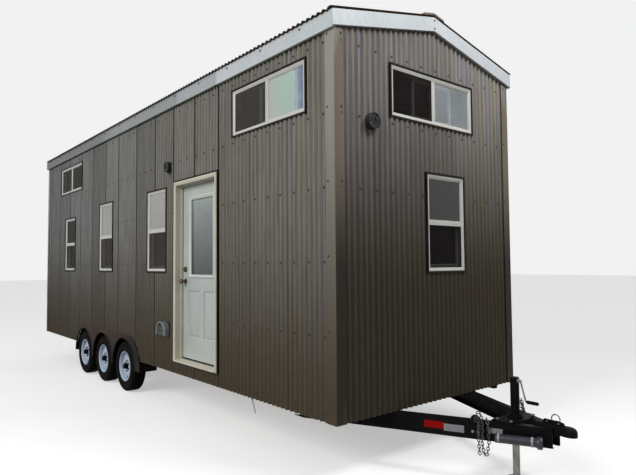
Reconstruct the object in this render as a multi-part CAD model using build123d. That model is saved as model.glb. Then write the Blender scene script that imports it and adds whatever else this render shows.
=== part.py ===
from build123d import *
import os
from math import atan, cos, degrees, floor, radians, sin

# Tiny house on a three-axle trailer, in millimetres.
# +X points along the tongue, +Y to the street side, +Z up, and the ground is Z = 0.
# The door is on the curb side, towards -Y. The origin is under the middle of the whole part.

# House body
house_length = 8610.0
house_width = 2540.0
siding_bottom = 487.0
floor_top = 637.0
floor_thickness = 37.0
wall_thickness = 100.0
apron_thickness = 12.0
apron_bottom = 495.0
frame_fit = 0.3

# Corrugated steel sheet, its ribs drawn filled down to the flat back
siding_depth = 22.0
sheet_gauge = 2.0
rib_pitch = 67.8
rib_crest_share = 0.28
rib_valley_share = 0.28

# Roof
ridge_height = 4135.0
roof_slope = 2.65 / 12.0
deck_thickness = 134.0
deck_overhang = 28.0
sheet_overhang = 25.0
flashing = 2.0
rake_return = 24.0
eave_drop = 10.0
ridge_cap_leg = 150.0
ridge_cap_rise = 16.0
ridge_cap_gauge = 3.0

# Corner trims
corner_leg = 110.0

# Windows
window_depth = 85.0
window_recess = 8.0
window_face = 34.0
mullion_face = 46.0
mullion_depths = (6.0, 38.0)
sash_face = 34.0
sash_depths = (40.0, 70.0)
sash_lap = 15.0
fixed_pane_depth = 14.0
sash_pane_depth = 52.0
glass_thickness = 6.0
slider_width = 1190.0
slider_height = 457.0
slider_drop = 1057.0
end_slider_opening = 210.0
hung_width = 556.0
hung_short = 914.0
hung_tall = 1024.0
hung_sill = 1687.0
curb_slider_rear = 7100.0
curb_hung_rear = 7125.0
curb_hung_middle = 5295.0
curb_hung_front = 3439.0
curb_slider_front = 976.0
end_slider_y = 12.0
end_hung_y = 168.0

# Door in the curb wall, measured back from the front wall
door_centre = 2370.0
door_width = 914.0
door_height = 2032.0
door_thickness = 44.0
door_bottom = 667.0
hinge_gap = 5.0
latch_gap = 7.0
head_gap = 7.0
stop_gap = 5.0
stop_width = 12.0
stop_depth = 25.0
jamb_thickness = 32.0
casing_face = 45.0
casing_proud = 30.0
sill_height = 20.0
sill_nose = 4.0
lite_width = 524.0
lite_bottom = 1650.0
lite_height = 878.0
lite_frame_width = 36.0
lite_frame_proud = 12.0
panel_width = 264.0
panel_height = 543.0
panel_bottom = 925.0
panel_offset = 185.0
panel_depth = 6.0
panel_border = 30.0
knob_height = 1572.0
deadbolt_height = 1713.0
knob_backset = 70.0
knob_radius = 28.0
knob_neck_radius = 14.0
knob_reach = 52.0
rose_radius = 33.0
rose_thickness = 12.0
deadbolt_radius = 25.0
deadbolt_reach = 22.0
hinge_radius = 7.0
hinge_leaf = 3.0
hinge_length = 102.0
hinge_leaf_width = 30.0
hinge_end_distance = 180.0
hinge_play = 0.3

# Trailer frame
rail_outer = 1015.0
rail_height = 150.0
rail_flange = 60.0
rail_gauge = 6.0
cross_height = 110.0
cross_flange = 45.0
cross_gauge = 5.0
cross_count = 9
outrigger_plate = 6.0
outrigger_shares = (0.04, 0.35, 0.65, 0.96)
tongue_height = 150.0
tongue_flange = 60.0
tongue_gauge = 6.0
tongue_reach = 1290.0
tongue_join = 60.0
tongue_back = 820.0
tongue_overlap = 150.0
coupler_length = 330.0
coupler_width = 96.0
coupler_height = 70.0
coupler_rise = 25.0
coupler_cheek = 8.0
ball_radius = 29.4
ball_depth = 22.0
latch_back = 60.0
latch_front = 100.0
latch_half_width = 12.0
latch_height = 28.0
latch_ring_radius = 34.0
latch_ring_rod = 5.0
latch_ring_lift = 40.0
bracket_back = 575.0
bracket_length = 76.0
bracket_gauge = 8.0
bracket_rise = 50.0
bracket_drop = 40.0
bracket_hole = 12.0

# Jack on the tongue
jack_setback = 510.0
jack_tube_radius = 36.0
jack_tube_wall = 7.0
jack_play = 0.5
jack_top = 820.0
jack_cap = 12.0
jack_tube_lift = 20.0
jack_plate_length = 190.0
jack_plate_width = 400.0
jack_plate_gauge = 10.0
jack_collar_radius = 62.0
jack_collar_height = 34.0
jack_leg_wall = 6.0
jack_leg_top = 550.0
foot_radius = 75.0
foot_thickness = 8.0
crank_height = 795.0
crank_drop = 160.0
crank_slant = 40.0
crank_rod = 7.0
crank_shaft = 10.0
crank_reach = 20.0
crank_shoulder = 8.0
grip_length = 100.0
grip_radius = 15.0
crank_play = 0.3

# Wheels and axles
axle_middle = 5405.0
axle_spacing = 875.0
tyre_radius = 345.0
tyre_width = 205.0
tyre_outer = 1262.0
bead_radius = 196.0
bead_share = 0.70
rim_radius = 208.0
rim_width = 165.0
rim_gauge = 5.0
rim_well = 6.0
disc_inset = 38.0
disc_thickness = 8.0
disc_hole_circle = 150.0
disc_hole_radius = 17.0
disc_holes = 8
hub_radius = 42.0
hub_length = 62.0
hub_bore_depth = 21.0
lug_circle = 70.0
lug_radius = 10.0
lug_length = 14.0
lugs = 6
spindle_radius = 20.0
spindle_play = 0.3
spindle_overlap = 12.0
axle_radius = 38.0
axle_clearance = 12.0
spring_offset = 975.0
spring_width = 50.0
spring_length = 660.0
spring_rise = 34.0
spring_thickness = 24.0
spring_end_thickness = 10.0
hanger_plate = 6.0
hanger_half_top = 60.0
hanger_foot_overlap = 30.0
hanger_foot_drop = 18.0
hanger_play = 0.3

# Wheel fenders
fender_front = 3940.0
fender_rear = 6670.0
fender_top = 787.0
fender_corner = 430.0
fender_lip = 15.0
fender_gauge = 4.0
fender_outer = 1274.0
fender_inner = 1030.0
arch_radius = 405.0
siding_clearance = 6.0

# Fittings on the walls
hood_centre = 3152.0
hood_bottom = 907.0
hood_height = 176.0
hood_width = 236.0
hood_reach = 75.0
hood_base = 6.0
hood_gauge = 4.0
box_radius_curb = 65.0
box_radius_front = 72.0
box_depth = 50.0
curb_box_back = 3050.0
curb_box_height = 2962.0
front_box_y = -850.0
front_box_height = 2977.0
tube_radius = 38.0
tube_length = 352.0
tube_front_gap = 65.0
tube_centre_height = 380.0
tube_cap_radius = 48.0
tube_cap_length = 40.0
tube_strap_width = 28.0
tube_strap_height = 44.0
tube_strap_inset = 70.0
stub_back = 1312.0
stub_radius = 6.0
stub_slant = 67.0
stub_bottom = 337.0

# Values that follow
front_x = (house_length + deck_overhang + flashing - tongue_reach) / 2
rear_x = front_x - house_length
middle_x = (front_x + rear_x) / 2
side_y = house_width / 2
core_y = side_y - siding_depth
inner_y = core_y - wall_thickness
core_front = front_x - siding_depth
core_rear = rear_x + siding_depth
inner_front = core_front - wall_thickness
deck_top = ridge_height - siding_depth
deck_under = deck_top - deck_thickness
deck_edge = side_y + deck_overhang
eave_y = deck_edge + flashing
rake_x = front_x + deck_overhang
slider_sill = ridge_height - slider_drop
rail_top = floor_top - floor_thickness
rail_bottom = rail_top - rail_height
cross_bottom = rail_top - rail_gauge - cross_height
edge_height = rail_top - cross_bottom
tongue_bottom = cross_bottom - tongue_height
tongue_tail = rail_outer - rail_flange - frame_fit
slab_inner = inner_y
slab_outer = slab_inner + door_thickness
door_x = front_x - door_centre
door_hinge_x = door_x + door_width / 2
door_latch_x = door_x - door_width / 2
door_top = door_bottom + door_height
jamb_front = door_hinge_x + hinge_gap
jamb_rear = door_latch_x - latch_gap
jamb_head = door_top + head_gap
hinge_axis_x = door_hinge_x + hinge_gap / 2
hinge_axis_y = -(slab_inner - hinge_radius)
knuckle_radius = hinge_radius - hinge_play
tip_x = front_x + tongue_reach - coupler_length / 2
jack_x = front_x + tongue_reach - jack_setback
axle_x = [front_x - axle_middle + axle_spacing * step for step in (1, 0, -1)]
axle_names = ["front", "middle", "rear"]
fender_front_x = front_x - fender_front
fender_rear_x = front_x - fender_rear
fender_bottom = fender_top - fender_corner - fender_lip
slope_angle = atan(roof_slope)


def block(x, y, z):
    """Box between two corners, each axis given as (low, high)."""
    size = Box(x[1] - x[0], y[1] - y[0], z[1] - z[0])
    return Pos((x[0] + x[1]) / 2, (y[0] + y[1]) / 2, (z[0] + z[1]) / 2) * size


def outline(points):
    """Flat face inside a closed run of straight lines."""
    return make_face(Polyline(*points, close=True))


def prism_x(points, low, high):
    """Section given as (Y, Z) points, drawn from X = low to X = high."""
    return extrude(Plane.YZ.offset(low) * outline(points), amount=high - low)


def prism_y(points, low, high):
    """Section given as (X, Z) points, drawn from Y = low to Y = high."""
    return extrude(Plane.XZ.offset(-high) * outline(points), amount=high - low)


def prism_z(points, low, high):
    """Section given as (X, Y) points, drawn from Z = low to Z = high."""
    return extrude(Plane.XY.offset(low) * outline(points), amount=high - low)


def other_side(shape):
    """The same piece on the street side."""
    return mirror(shape, about=Plane.XZ)


def rod(radius, start, end):
    """Round bar between two points."""
    path = Vector(*end) - Vector(*start)
    plane = Plane(origin=Vector(*start), z_dir=path)
    return extrude(plane * Circle(radius), amount=path.length)


def roof_underside(y):
    """Height of the roof deck's lower face above the ground, at a distance from the ridge line."""
    return deck_under - roof_slope * abs(y)


def rib_points(length, raised_ends):
    """Corrugated section: distance along the sheet and depth out from its flat back.

    The sheet ends in a valley, or on a crest where its ends are raised.
    """
    count = floor(length / rib_pitch)
    margin = (length - count * rib_pitch) / 2
    flank = rib_pitch * (1 - rib_crest_share - rib_valley_share) / 2
    end_share, end_level, middle_level = rib_valley_share, sheet_gauge, siding_depth
    if raised_ends:
        end_share, end_level, middle_level = rib_crest_share, siding_depth, sheet_gauge
    half_end = rib_pitch * end_share / 2
    points = [(0, 0), (0, end_level)]
    for index in range(count):
        start = margin + index * rib_pitch
        points.append((start + half_end, end_level))
        points.append((start + half_end + flank, middle_level))
        points.append((start + rib_pitch - half_end - flank, middle_level))
        points.append((start + rib_pitch - half_end, end_level))
    points.append((length, end_level))
    points.append((length, 0))
    return points


# Windows: a centre along the wall, a sill height, a size, the kind, and how far the sash is open

def slider(centre, opening):
    """Side-sliding window in the upper row."""
    return (centre, slider_sill, slider_width, slider_height, "slider", opening)


def hung(centre, height):
    """Window with a lower sash that slides up, drawn shut."""
    return (centre, hung_sill, hung_width, height, "hung", 0)


curb_windows = [
    slider(front_x - curb_slider_rear, 0),
    hung(front_x - curb_hung_rear, hung_short),
    hung(front_x - curb_hung_middle, hung_tall),
    hung(front_x - curb_hung_front, hung_tall),
    slider(front_x - curb_slider_front, 0),
]
end_windows = [slider(end_slider_y, end_slider_opening), hung(end_hung_y, hung_short)]


def ring(width, height, face, low, high):
    """Rectangular frame standing in the XZ plane, its inner edge one face width in."""
    outer = Plane.XZ.offset(-high) * Rectangle(width, height)
    inner = Plane.XZ.offset(-high) * Rectangle(width - 2 * face, height - 2 * face)
    return extrude(outer - inner, amount=high - low)


def sash_place(clear_w, clear_h, kind, opening):
    """Size of the moving sash and the middle of it: the left half of a slider, the lower half of the rest."""
    if kind == "slider":
        size = (clear_w / 2 + sash_lap, clear_h)
        return size, (-clear_w / 2 + size[0] / 2 + opening, 0)
    size = (clear_w, clear_h / 2 + sash_lap)
    return size, (0, -clear_h / 2 + size[1] / 2 + opening)


def window_frame(width, height, kind, opening):
    """Vinyl frame and sash about the origin, outside face at Y = 0, going in towards +Y."""
    frame = ring(width, height, window_face, 0, window_depth)
    half_w = width / 2 - window_face
    half_h = height / 2 - window_face
    half_face = mullion_face / 2
    if kind == "slider":
        mullion = block((-half_face, half_face), mullion_depths, (-half_h, half_h))
    else:
        mullion = block((-half_w, half_w), mullion_depths, (-half_face, half_face))
    size, middle = sash_place(2 * half_w, 2 * half_h, kind, opening)
    sash = ring(*size, sash_face, *sash_depths)
    return frame + mullion + Pos(middle[0], 0, middle[1]) * sash


def window_panes(width, height, kind, opening):
    """Fixed pane behind the outside face and the pane of the sash, each filling its frame."""
    half_w = width / 2 - window_face
    half_h = height / 2 - window_face
    half_face = mullion_face / 2
    depth = (fixed_pane_depth, fixed_pane_depth + glass_thickness)
    if kind == "slider":
        fixed = block((half_face, half_w), depth, (-half_h, half_h))
    else:
        fixed = block((-half_w, half_w), depth, (half_face, half_h))
    size, middle = sash_place(2 * half_w, 2 * half_h, kind, opening)
    reach_w = size[0] / 2 - sash_face
    reach_h = size[1] / 2 - sash_face
    moving = block(
        (middle[0] - reach_w, middle[0] + reach_w),
        (sash_pane_depth, sash_pane_depth + glass_thickness),
        (middle[1] - reach_h, middle[1] + reach_h),
    )
    return [fixed, moving]


def on_curb(shape, centre, sill, height):
    """Move a window piece into the curb wall."""
    return Pos(centre, -(side_y - window_recess), sill + height / 2) * shape


def on_front(shape, centre, sill, height):
    """Move a window piece into the front wall."""
    return Pos(front_x - window_recess, centre, sill + height / 2) * Rot(0, 0, 90) * shape


def on_rear(shape, centre, sill, height):
    """Move a window piece into the rear wall, which repeats the front one."""
    return Pos(rear_x + window_recess, -centre, sill + height / 2) * Rot(0, 0, -90) * shape


def window_set(windows, place):
    """Frames and panes of one wall, as two lists."""
    frames = []
    panes = []
    for centre, sill, width, height, kind, opening in windows:
        frames.append(place(window_frame(width, height, kind, opening), centre, sill, height))
        for pane in window_panes(width, height, kind, opening):
            panes.append(place(pane, centre, sill, height))
    return frames, panes


def window_cut(windows, place):
    """Holes for one wall's windows, through siding and wall."""
    holes = []
    for centre, sill, width, height, _, _ in windows:
        half_w = width / 2 + frame_fit
        half_h = height / 2 + frame_fit
        hole = block((-half_w, half_w), (-siding_depth, 2 * wall_thickness), (-half_h, half_h))
        holes.append(place(hole, centre, sill, height))
    return holes


def fender_outline(grow, bottom):
    """Arch outline of the wheel fender as a face in the XZ plane, grown all round."""
    front = fender_front_x + grow
    rear = fender_rear_x - grow
    top = fender_top + grow
    radius = fender_corner + grow
    low = bottom
    lines = [
        Line((rear, low), (rear, top - radius)),
        ThreePointArc(
            (rear, top - radius),
            (rear + radius * (1 - cos(radians(45))), top - radius * (1 - sin(radians(45)))),
            (rear + radius, top),
        ),
        Line((rear + radius, top), (front - radius, top)),
        ThreePointArc(
            (front - radius, top),
            (front - radius * (1 - cos(radians(45))), top - radius * (1 - sin(radians(45)))),
            (front, top - radius),
        ),
        Line((front, top - radius), (front, low)),
        Line((front, low), (rear, low)),
    ]
    return make_face(Curve() + lines)


def fender_prism(grow, bottom, low, high):
    """The arch outline drawn between two distances from the centreline, on the curb side."""
    return extrude(Plane.XZ.offset(low) * fender_outline(grow, bottom), amount=high - low)


# Walls

def side_wall_section(bottom):
    """Long wall seen from its end: an apron below the floor and a top that follows the roof."""
    return [
        (-core_y, bottom),
        (-(core_y - apron_thickness), bottom),
        (-(core_y - apron_thickness), floor_top),
        (-inner_y, floor_top),
        (-inner_y, roof_underside(inner_y)),
        (-core_y, roof_underside(core_y)),
    ]


def door_hole():
    """Space for the door frame, open at its foot to the floor."""
    low = jamb_rear - jamb_thickness - frame_fit
    high = jamb_front + jamb_thickness + frame_fit
    top = jamb_head + jamb_thickness + frame_fit
    return (low, high), top


def side_wall():
    """Whole curb-side long wall before the doorway is cut."""
    wall = prism_x(side_wall_section(apron_bottom), core_rear, core_front)
    wall = wall - fender_prism(siding_clearance, 0, inner_y - 1, side_y)
    for hole in window_cut(curb_windows, on_curb):
        wall = wall - hole
    return wall


def split_curb_wall(wall):
    """Curb wall in four pieces: behind, ahead of, over and under the doorway."""
    span, top = door_hole()
    depth = (-side_y, -inner_y + 1)
    rear = wall & block((rear_x, span[0]), depth, (0, ridge_height))
    front = wall & block((span[1], front_x), depth, (0, ridge_height))
    over = wall & block(span, depth, (top, ridge_height))
    under = wall & block(span, depth, (0, floor_top))
    return rear, front, over, under


def end_wall():
    """Front gable wall between the long walls."""
    points = [
        (-inner_y, floor_top),
        (inner_y, floor_top),
        (inner_y, roof_underside(inner_y)),
        (0, roof_underside(0)),
        (-inner_y, roof_underside(inner_y)),
    ]
    return prism_x(points, inner_front, core_front)


def front_wall():
    """Front gable wall with its window holes and the apron over the floor's edge."""
    wall = end_wall()
    for hole in window_cut(end_windows, on_front):
        wall = wall - hole
    edge = core_y - apron_thickness
    apron = block((core_front - apron_thickness, core_front), (-edge, edge), (apron_bottom, floor_top))
    return wall + apron


def rear_wall():
    """Rear gable wall, the front one turned about the middle of the house."""
    return Pos(2 * middle_x, 0, 0) * Rot(0, 0, 180) * front_wall()


def side_siding():
    """Corrugated sheet over the curb wall, cut for windows and fender but not for the door."""
    points = [(rear_x + along, -core_y - out) for along, out in rib_points(house_length, False)]
    sheet = prism_z(points, siding_bottom, roof_underside(side_y))
    sheet = sheet - fender_prism(siding_clearance, 0, core_y - 1, side_y + 1)
    for hole in window_cut(curb_windows, on_curb):
        sheet = sheet - hole
    return sheet


def curb_siding():
    """Curb sheet with the doorway cut out down to the sill."""
    width = (jamb_rear - casing_face - frame_fit, jamb_front + casing_face + frame_fit)
    height = (floor_top - frame_fit, jamb_head + casing_face + frame_fit)
    return side_siding() - block(width, (-side_y - 1, -core_y + 1), height)


def front_siding():
    """Corrugated sheet over the front gable, its top cut to the roof slope."""
    points = [(core_front + out, along - core_y) for along, out in rib_points(2 * core_y, False)]
    sheet = prism_z(points, siding_bottom, roof_underside(0))
    gable = [
        (-core_y, 0),
        (core_y, 0),
        (core_y, roof_underside(core_y)),
        (0, roof_underside(0)),
        (-core_y, roof_underside(core_y)),
    ]
    sheet = sheet & prism_x(gable, core_front - 1, front_x + 1)
    for hole in window_cut(end_windows, on_front):
        sheet = sheet - hole
    return sheet


def corner_trims():
    """Four flat angles folded round the corners of the siding."""
    trims = []
    top = roof_underside(side_y + flashing)
    for x, turn in ((front_x, 1), (rear_x, -1)):
        for side in (1, -1):
            outer_x = x + turn * flashing
            inner_x = x - turn * corner_leg
            outer_y = side * (side_y + flashing)
            inner_y_leg = side * (side_y - corner_leg)
            points = [
                (inner_x, side * side_y),
                (inner_x, outer_y),
                (outer_x, outer_y),
                (outer_x, inner_y_leg),
                (x, inner_y_leg),
                (x, side * side_y),
            ]
            trims.append(prism_z(points, siding_bottom, top))
    return trims


# Roof: each half is drawn in the ridge plane and carried down the slope

def down_slope(face, half_width):
    """Carry a face in the ridge plane down the curb-side slope to a distance from the ridge."""
    path = Vector(0, -cos(slope_angle), -sin(slope_angle))
    return extrude(face, amount=half_width / cos(slope_angle), dir=path)


def roof_deck():
    """Curb half of the insulated roof deck."""
    points = [
        (rear_x - deck_overhang, deck_under),
        (rake_x, deck_under),
        (rake_x, deck_top),
        (rear_x - deck_overhang, deck_top),
    ]
    return down_slope(Plane.XZ * outline(points), deck_edge)


def roof_sheet():
    """Curb half of the corrugated roof, its ribs running down the slope and its ends over the rake trims."""
    start = rear_x - deck_overhang - flashing
    length = rake_x + flashing - start
    points = [(start + along, deck_top + out) for along, out in rib_points(length, True)]
    return down_slope(Plane.XZ * outline(points), eave_y + sheet_overhang)


def ridge_cap():
    """Folded cap over the ridge, its turned-down edges and closed ends standing on the sheets' crests."""
    halves = []
    for inset in (0, ridge_cap_gauge):
        rear = rear_x - deck_overhang - flashing + inset
        front = rake_x + flashing - inset
        top = ridge_height + ridge_cap_rise + ridge_cap_gauge - inset
        points = [(rear, ridge_height), (front, ridge_height), (front, top), (rear, top)]
        halves.append(down_slope(Plane.XZ * outline(points), ridge_cap_leg - inset))
    half = halves[0] - halves[1]
    return half + other_side(half)


def rake_fascia():
    """Front rake trim: an upright face over the deck's end and a return under the deck."""
    low = deck_under - flashing
    outer = rake_x + flashing
    inner = rake_x - rake_return
    face = [(rake_x, low), (outer, low), (outer, deck_top), (rake_x, deck_top)]
    under = [(inner, low), (outer, low), (outer, deck_under), (inner, deck_under)]
    half = down_slope(Plane.XZ * outline(face), eave_y)
    half = half + down_slope(Plane.XZ * outline(under), deck_edge)
    return half + other_side(half)


def eave_fascia():
    """Curb eave trim: an upright face over the deck's edge and a return to the corner trims."""
    top = deck_top - roof_slope * eave_y
    bottom = roof_underside(deck_edge) - eave_drop
    inside = side_y + flashing
    points = [
        (-deck_edge, top),
        (-eave_y, top),
        (-eave_y, bottom - flashing),
        (-inside, bottom - flashing),
        (-inside, bottom),
        (-deck_edge, bottom),
    ]
    return prism_x(points, rear_x - deck_overhang, rake_x)


# Door

def door_frame():
    """Casing, jambs, stops and sill as one built-up frame."""
    inner = (jamb_rear, jamb_front)
    outer = (jamb_rear - jamb_thickness, jamb_front + jamb_thickness)
    face = (jamb_rear - casing_face, jamb_front + casing_face)
    foot = floor_top
    depth = (-side_y, -inner_y)
    front = -(side_y + casing_proud)
    jambs = block(outer, depth, (foot, jamb_head + jamb_thickness))
    jambs = jambs - block(inner, (-side_y - 1, 0), (foot, jamb_head))
    casing = block(face, (front, -core_y), (foot, jamb_head + casing_face))
    casing = casing - block(inner, (front - 1, 0), (foot - 1, jamb_head))
    stop_face = -(slab_outer + stop_gap)
    stop_depths = (stop_face - stop_depth, stop_face)
    stops = block(inner, stop_depths, (foot, jamb_head))
    clear = (jamb_rear + stop_width, jamb_front - stop_width)
    stops = stops - block(clear, (-side_y, 0), (foot - 1, jamb_head - stop_width))
    sill = block(inner, (front - sill_nose, -inner_y), (foot, foot + sill_height))
    return casing + jambs + stops + sill


def door_slab():
    """Half-lite slab with two raised panels below the glass."""
    depth = (-slab_outer, -slab_inner)
    slab = block((door_latch_x, door_hinge_x), depth, (door_bottom, door_top))
    half = lite_width / 2
    lite_top = lite_bottom + lite_height
    slab = slab - block((door_x - half, door_x + half), (-side_y, 0), (lite_bottom, lite_top))
    for offset in (-panel_offset, panel_offset):
        centre = door_x + offset
        spread = panel_width / 2
        top = panel_bottom + panel_height
        for face, turn in ((-slab_outer, 1), (-slab_inner, -1)):
            low = min(face, face + turn * panel_depth)
            high = max(face, face + turn * panel_depth)
            groove = block((centre - spread, centre + spread), (low, high), (panel_bottom, top))
            field = block(
                (centre - spread + panel_border, centre + spread - panel_border),
                (low, high),
                (panel_bottom + panel_border, top - panel_border),
            )
            slab = slab - (groove - field)
    rim = lite_frame_width
    for face, turn in ((-slab_outer, -1), (-slab_inner, 1)):
        low = min(face, face + turn * lite_frame_proud)
        high = max(face, face + turn * lite_frame_proud)
        reach = half + rim
        outer = block((door_x - reach, door_x + reach), (low, high), (lite_bottom - rim, lite_top + rim))
        clear = block((door_x - half, door_x + half), (low - 1, high + 1), (lite_bottom, lite_top))
        slab = slab + (outer - clear)
    return slab


def door_glass():
    """Insulated pane of the half lite."""
    middle = -(slab_outer + slab_inner) / 2
    half = lite_width / 2
    depth = (middle - glass_thickness, middle + glass_thickness)
    return block((door_x - half, door_x + half), depth, (lite_bottom, lite_bottom + lite_height))


def knob(face, turn, height, ball):
    """Round lockset on one face of the door, pointing out by turn."""
    x = door_latch_x + knob_backset
    front = face + turn * rose_thickness
    rose = rod(rose_radius, (x, face, height), (x, front, height))
    if not ball:
        return rose + rod(deadbolt_radius, (x, front, height), (x, face + turn * deadbolt_reach, height))
    middle = face + turn * knob_reach
    neck = rod(knob_neck_radius, (x, front, height), (x, middle, height))
    return rose + neck + Pos(x, middle, height) * Sphere(knob_radius)


def door_hardware():
    """Knob and deadbolt on both faces of the slab."""
    pieces = []
    for face, turn in ((-slab_outer, -1), (-slab_inner, 1)):
        pieces.append(knob(face, turn, knob_height, True))
        pieces.append(knob(face, turn, deadbolt_height, False))
    return pieces


def hinge_heights():
    """Centre heights of the three butt hinges."""
    end = hinge_end_distance + hinge_length / 2
    return [door_bottom + end, (door_bottom + door_top) / 2, door_top - end]


def hinge_part(low, high, leaf_end, leaf_face):
    """Knuckle about the hinge pin between two heights, with its leaf out to leaf_end on a face."""
    barrel = rod(knuckle_radius, (hinge_axis_x, hinge_axis_y, low), (hinge_axis_x, hinge_axis_y, high))
    span = (min(hinge_axis_x, leaf_end), max(hinge_axis_x, leaf_end))
    leaf = block(span, (-leaf_face, -leaf_face + hinge_leaf), (low, high))
    return barrel + leaf


def jamb_hinges():
    """Upper and lower knuckles with their leaf on the front jamb."""
    pieces = []
    third = hinge_length / 3
    leaf_end = hinge_axis_x + hinge_leaf_width
    for z in hinge_heights():
        pieces.append(hinge_part(z - third * 1.5, z - third / 2 - hinge_play, leaf_end, inner_y))
        pieces.append(hinge_part(z + third / 2 + hinge_play, z + third * 1.5, leaf_end, inner_y))
    return pieces


def door_hinges():
    """Middle knuckle with its leaf on the slab's inner face."""
    pieces = []
    third = hinge_length / 3
    for z in hinge_heights():
        pieces.append(hinge_part(z - third / 2, z + third / 2, hinge_axis_x - hinge_leaf_width, slab_inner))
    return pieces


# Trailer frame

def channel(length, height, flange, gauge):
    """C-channel along +X from the origin, its web at Y = 0 and flanges towards +Y, Z from 0 up."""
    points = [
        (0, 0),
        (flange, 0),
        (flange, gauge),
        (gauge, gauge),
        (gauge, height - gauge),
        (flange, height - gauge),
        (flange, height),
        (0, height),
    ]
    return prism_x(points, 0, length)


def main_rails():
    """Two long rails, their webs outwards."""
    length = core_front - core_rear - 2 * apron_thickness
    rail = channel(length, rail_height, rail_flange, rail_gauge)
    curb = Pos(core_rear + apron_thickness, -rail_outer, rail_bottom) * rail
    return [curb, other_side(curb)]


def floor_frame():
    """Cross channels between the rails and side channels outside them, clear of the wheel wells."""
    pieces = []
    first = core_rear + apron_thickness
    last = core_front - apron_thickness
    inner = rail_outer - rail_gauge
    beam = channel(2 * inner, cross_height, cross_flange, cross_gauge)
    step = (last - first - cross_flange) / (cross_count - 1)
    for index in range(cross_count):
        x = first + cross_flange + index * step
        pieces.append(Pos(x, -inner, cross_bottom) * Rot(0, 0, 90) * beam)
    return pieces


def side_channels():
    """Edge channels of the floor, carried on short outriggers from the rails."""
    pieces = []
    first = core_rear + apron_thickness
    last = core_front - apron_thickness
    outer = core_y - apron_thickness
    gap = siding_clearance + fender_gauge
    half = outrigger_plate / 2
    for low, high in ((first, fender_rear_x - gap), (fender_front_x + gap, last)):
        edge = Pos(low, -outer, cross_bottom) * channel(high - low, edge_height, cross_flange, cross_gauge)
        for share in outrigger_shares:
            x = low + share * (high - low)
            arm = block((x - half, x + half), (-(outer - cross_gauge), -rail_outer), (cross_bottom, rail_top))
            edge = edge + arm
        pieces.append(edge)
        pieces.append(other_side(edge))
    return pieces


def tongue_angle():
    """Angle of each tongue beam from the centreline, in degrees."""
    run = tongue_reach - coupler_length / 2 + tongue_back
    rise = tongue_tail - tongue_join
    return degrees(atan(rise / run))


def tongue_beam():
    """Curb-side beam of the A-frame, from the rail to the coupler."""
    run = tongue_reach - coupler_length / 2 + tongue_back
    angle = radians(tongue_angle())
    tail = (front_x - tongue_back, -tongue_tail)
    length = run / cos(angle) + 2 * tongue_overlap
    beam = Pos(-tongue_overlap, 0, 0) * channel(length, tongue_height, tongue_flange, tongue_gauge)
    beam = Pos(*tail, tongue_bottom) * Rot(0, 0, tongue_angle()) * beam
    inside = -coupler_width / 2 + coupler_cheek
    return beam & block((tail[0] - tongue_overlap, tip_x), (tail[1], inside), (tongue_bottom, rail_top))


def tongue_point(back, out, height):
    """Point beside the curb beam: distance back from its tip, out from its web, and height."""
    angle = radians(tongue_angle())
    x = tip_x - back * cos(angle) + out * sin(angle)
    y = -tongue_join - back * sin(angle) - out * cos(angle)
    return (x, y, height)


def coupler():
    """Hooded coupler with a round socket for the ball, between the tongue beams, and its latch."""
    nose = front_x + tongue_reach
    back = nose - coupler_length
    top = cross_bottom + coupler_rise
    base = top - coupler_height
    round_nose = coupler_width / 2
    half = round_nose - coupler_cheek - frame_fit
    cap_x = nose - round_nose
    body = block((back, cap_x), (-half, half), (base, top))
    body = body + rod(round_nose, (cap_x, 0, base), (cap_x, 0, top))
    seat = (cap_x, 0, base + ball_depth)
    body = body - Pos(*seat) * Sphere(ball_radius)
    body = body - rod(ball_radius, (cap_x, 0, base - 1), seat)
    width = (-latch_half_width, latch_half_width)
    latch = block((back + latch_back, nose - latch_front), width, (top, top + latch_height))
    ring_plane = Plane(origin=(tip_x, 0, top + latch_ring_lift), x_dir=(1, 0, 0), z_dir=(0, 1, 0))
    return body + latch + ring_plane * Torus(latch_ring_radius, latch_ring_rod)


def chain_bracket():
    """Upright plate on the web of the curb beam, with a hole for the safety chain above the beam."""
    low = tongue_bottom + bracket_drop
    high = cross_bottom + bracket_rise
    round_end = bracket_length / 2
    profile = [
        (-round_end, low - high + round_end),
        (round_end, low - high + round_end),
        (round_end, 0),
        (-round_end, 0),
    ]
    face = outline(profile) + Circle(round_end) - Circle(bracket_hole)
    centre = tongue_point(bracket_back, 0, high - round_end)
    angle = radians(tongue_angle())
    plane = Plane(origin=centre, x_dir=(cos(angle), sin(angle), 0), z_dir=(sin(angle), -cos(angle), 0))
    return extrude(plane * face, amount=bracket_gauge)


# Jack

def jack_tube():
    """Outer tube with its cap, the collar at its foot and the plate that carries it on the beams."""
    inner = jack_tube_radius - jack_tube_wall
    low = tongue_bottom + jack_tube_lift
    plate_top = cross_bottom + jack_plate_gauge
    shell = rod(jack_tube_radius, (jack_x, 0, low), (jack_x, 0, jack_top))
    plate = Box(jack_plate_length, jack_plate_width, jack_plate_gauge)
    shell = shell + Pos(jack_x, 0, cross_bottom + jack_plate_gauge / 2) * plate
    collar_top = plate_top + jack_collar_height
    shell = shell + rod(jack_collar_radius, (jack_x, 0, plate_top), (jack_x, 0, collar_top))
    return shell - rod(inner, (jack_x, 0, low - 1), (jack_x, 0, jack_top - jack_cap))


def jack_leg():
    """Inner leg with the foot that stands on the ground."""
    outer = jack_tube_radius - jack_tube_wall - jack_play
    leg = rod(outer, (jack_x, 0, foot_thickness), (jack_x, 0, jack_leg_top))
    leg = leg - rod(outer - jack_leg_wall, (jack_x, 0, 2 * foot_thickness), (jack_x, 0, jack_leg_top + 1))
    return leg + rod(foot_radius, (jack_x, 0, 0), (jack_x, 0, foot_thickness))


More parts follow.
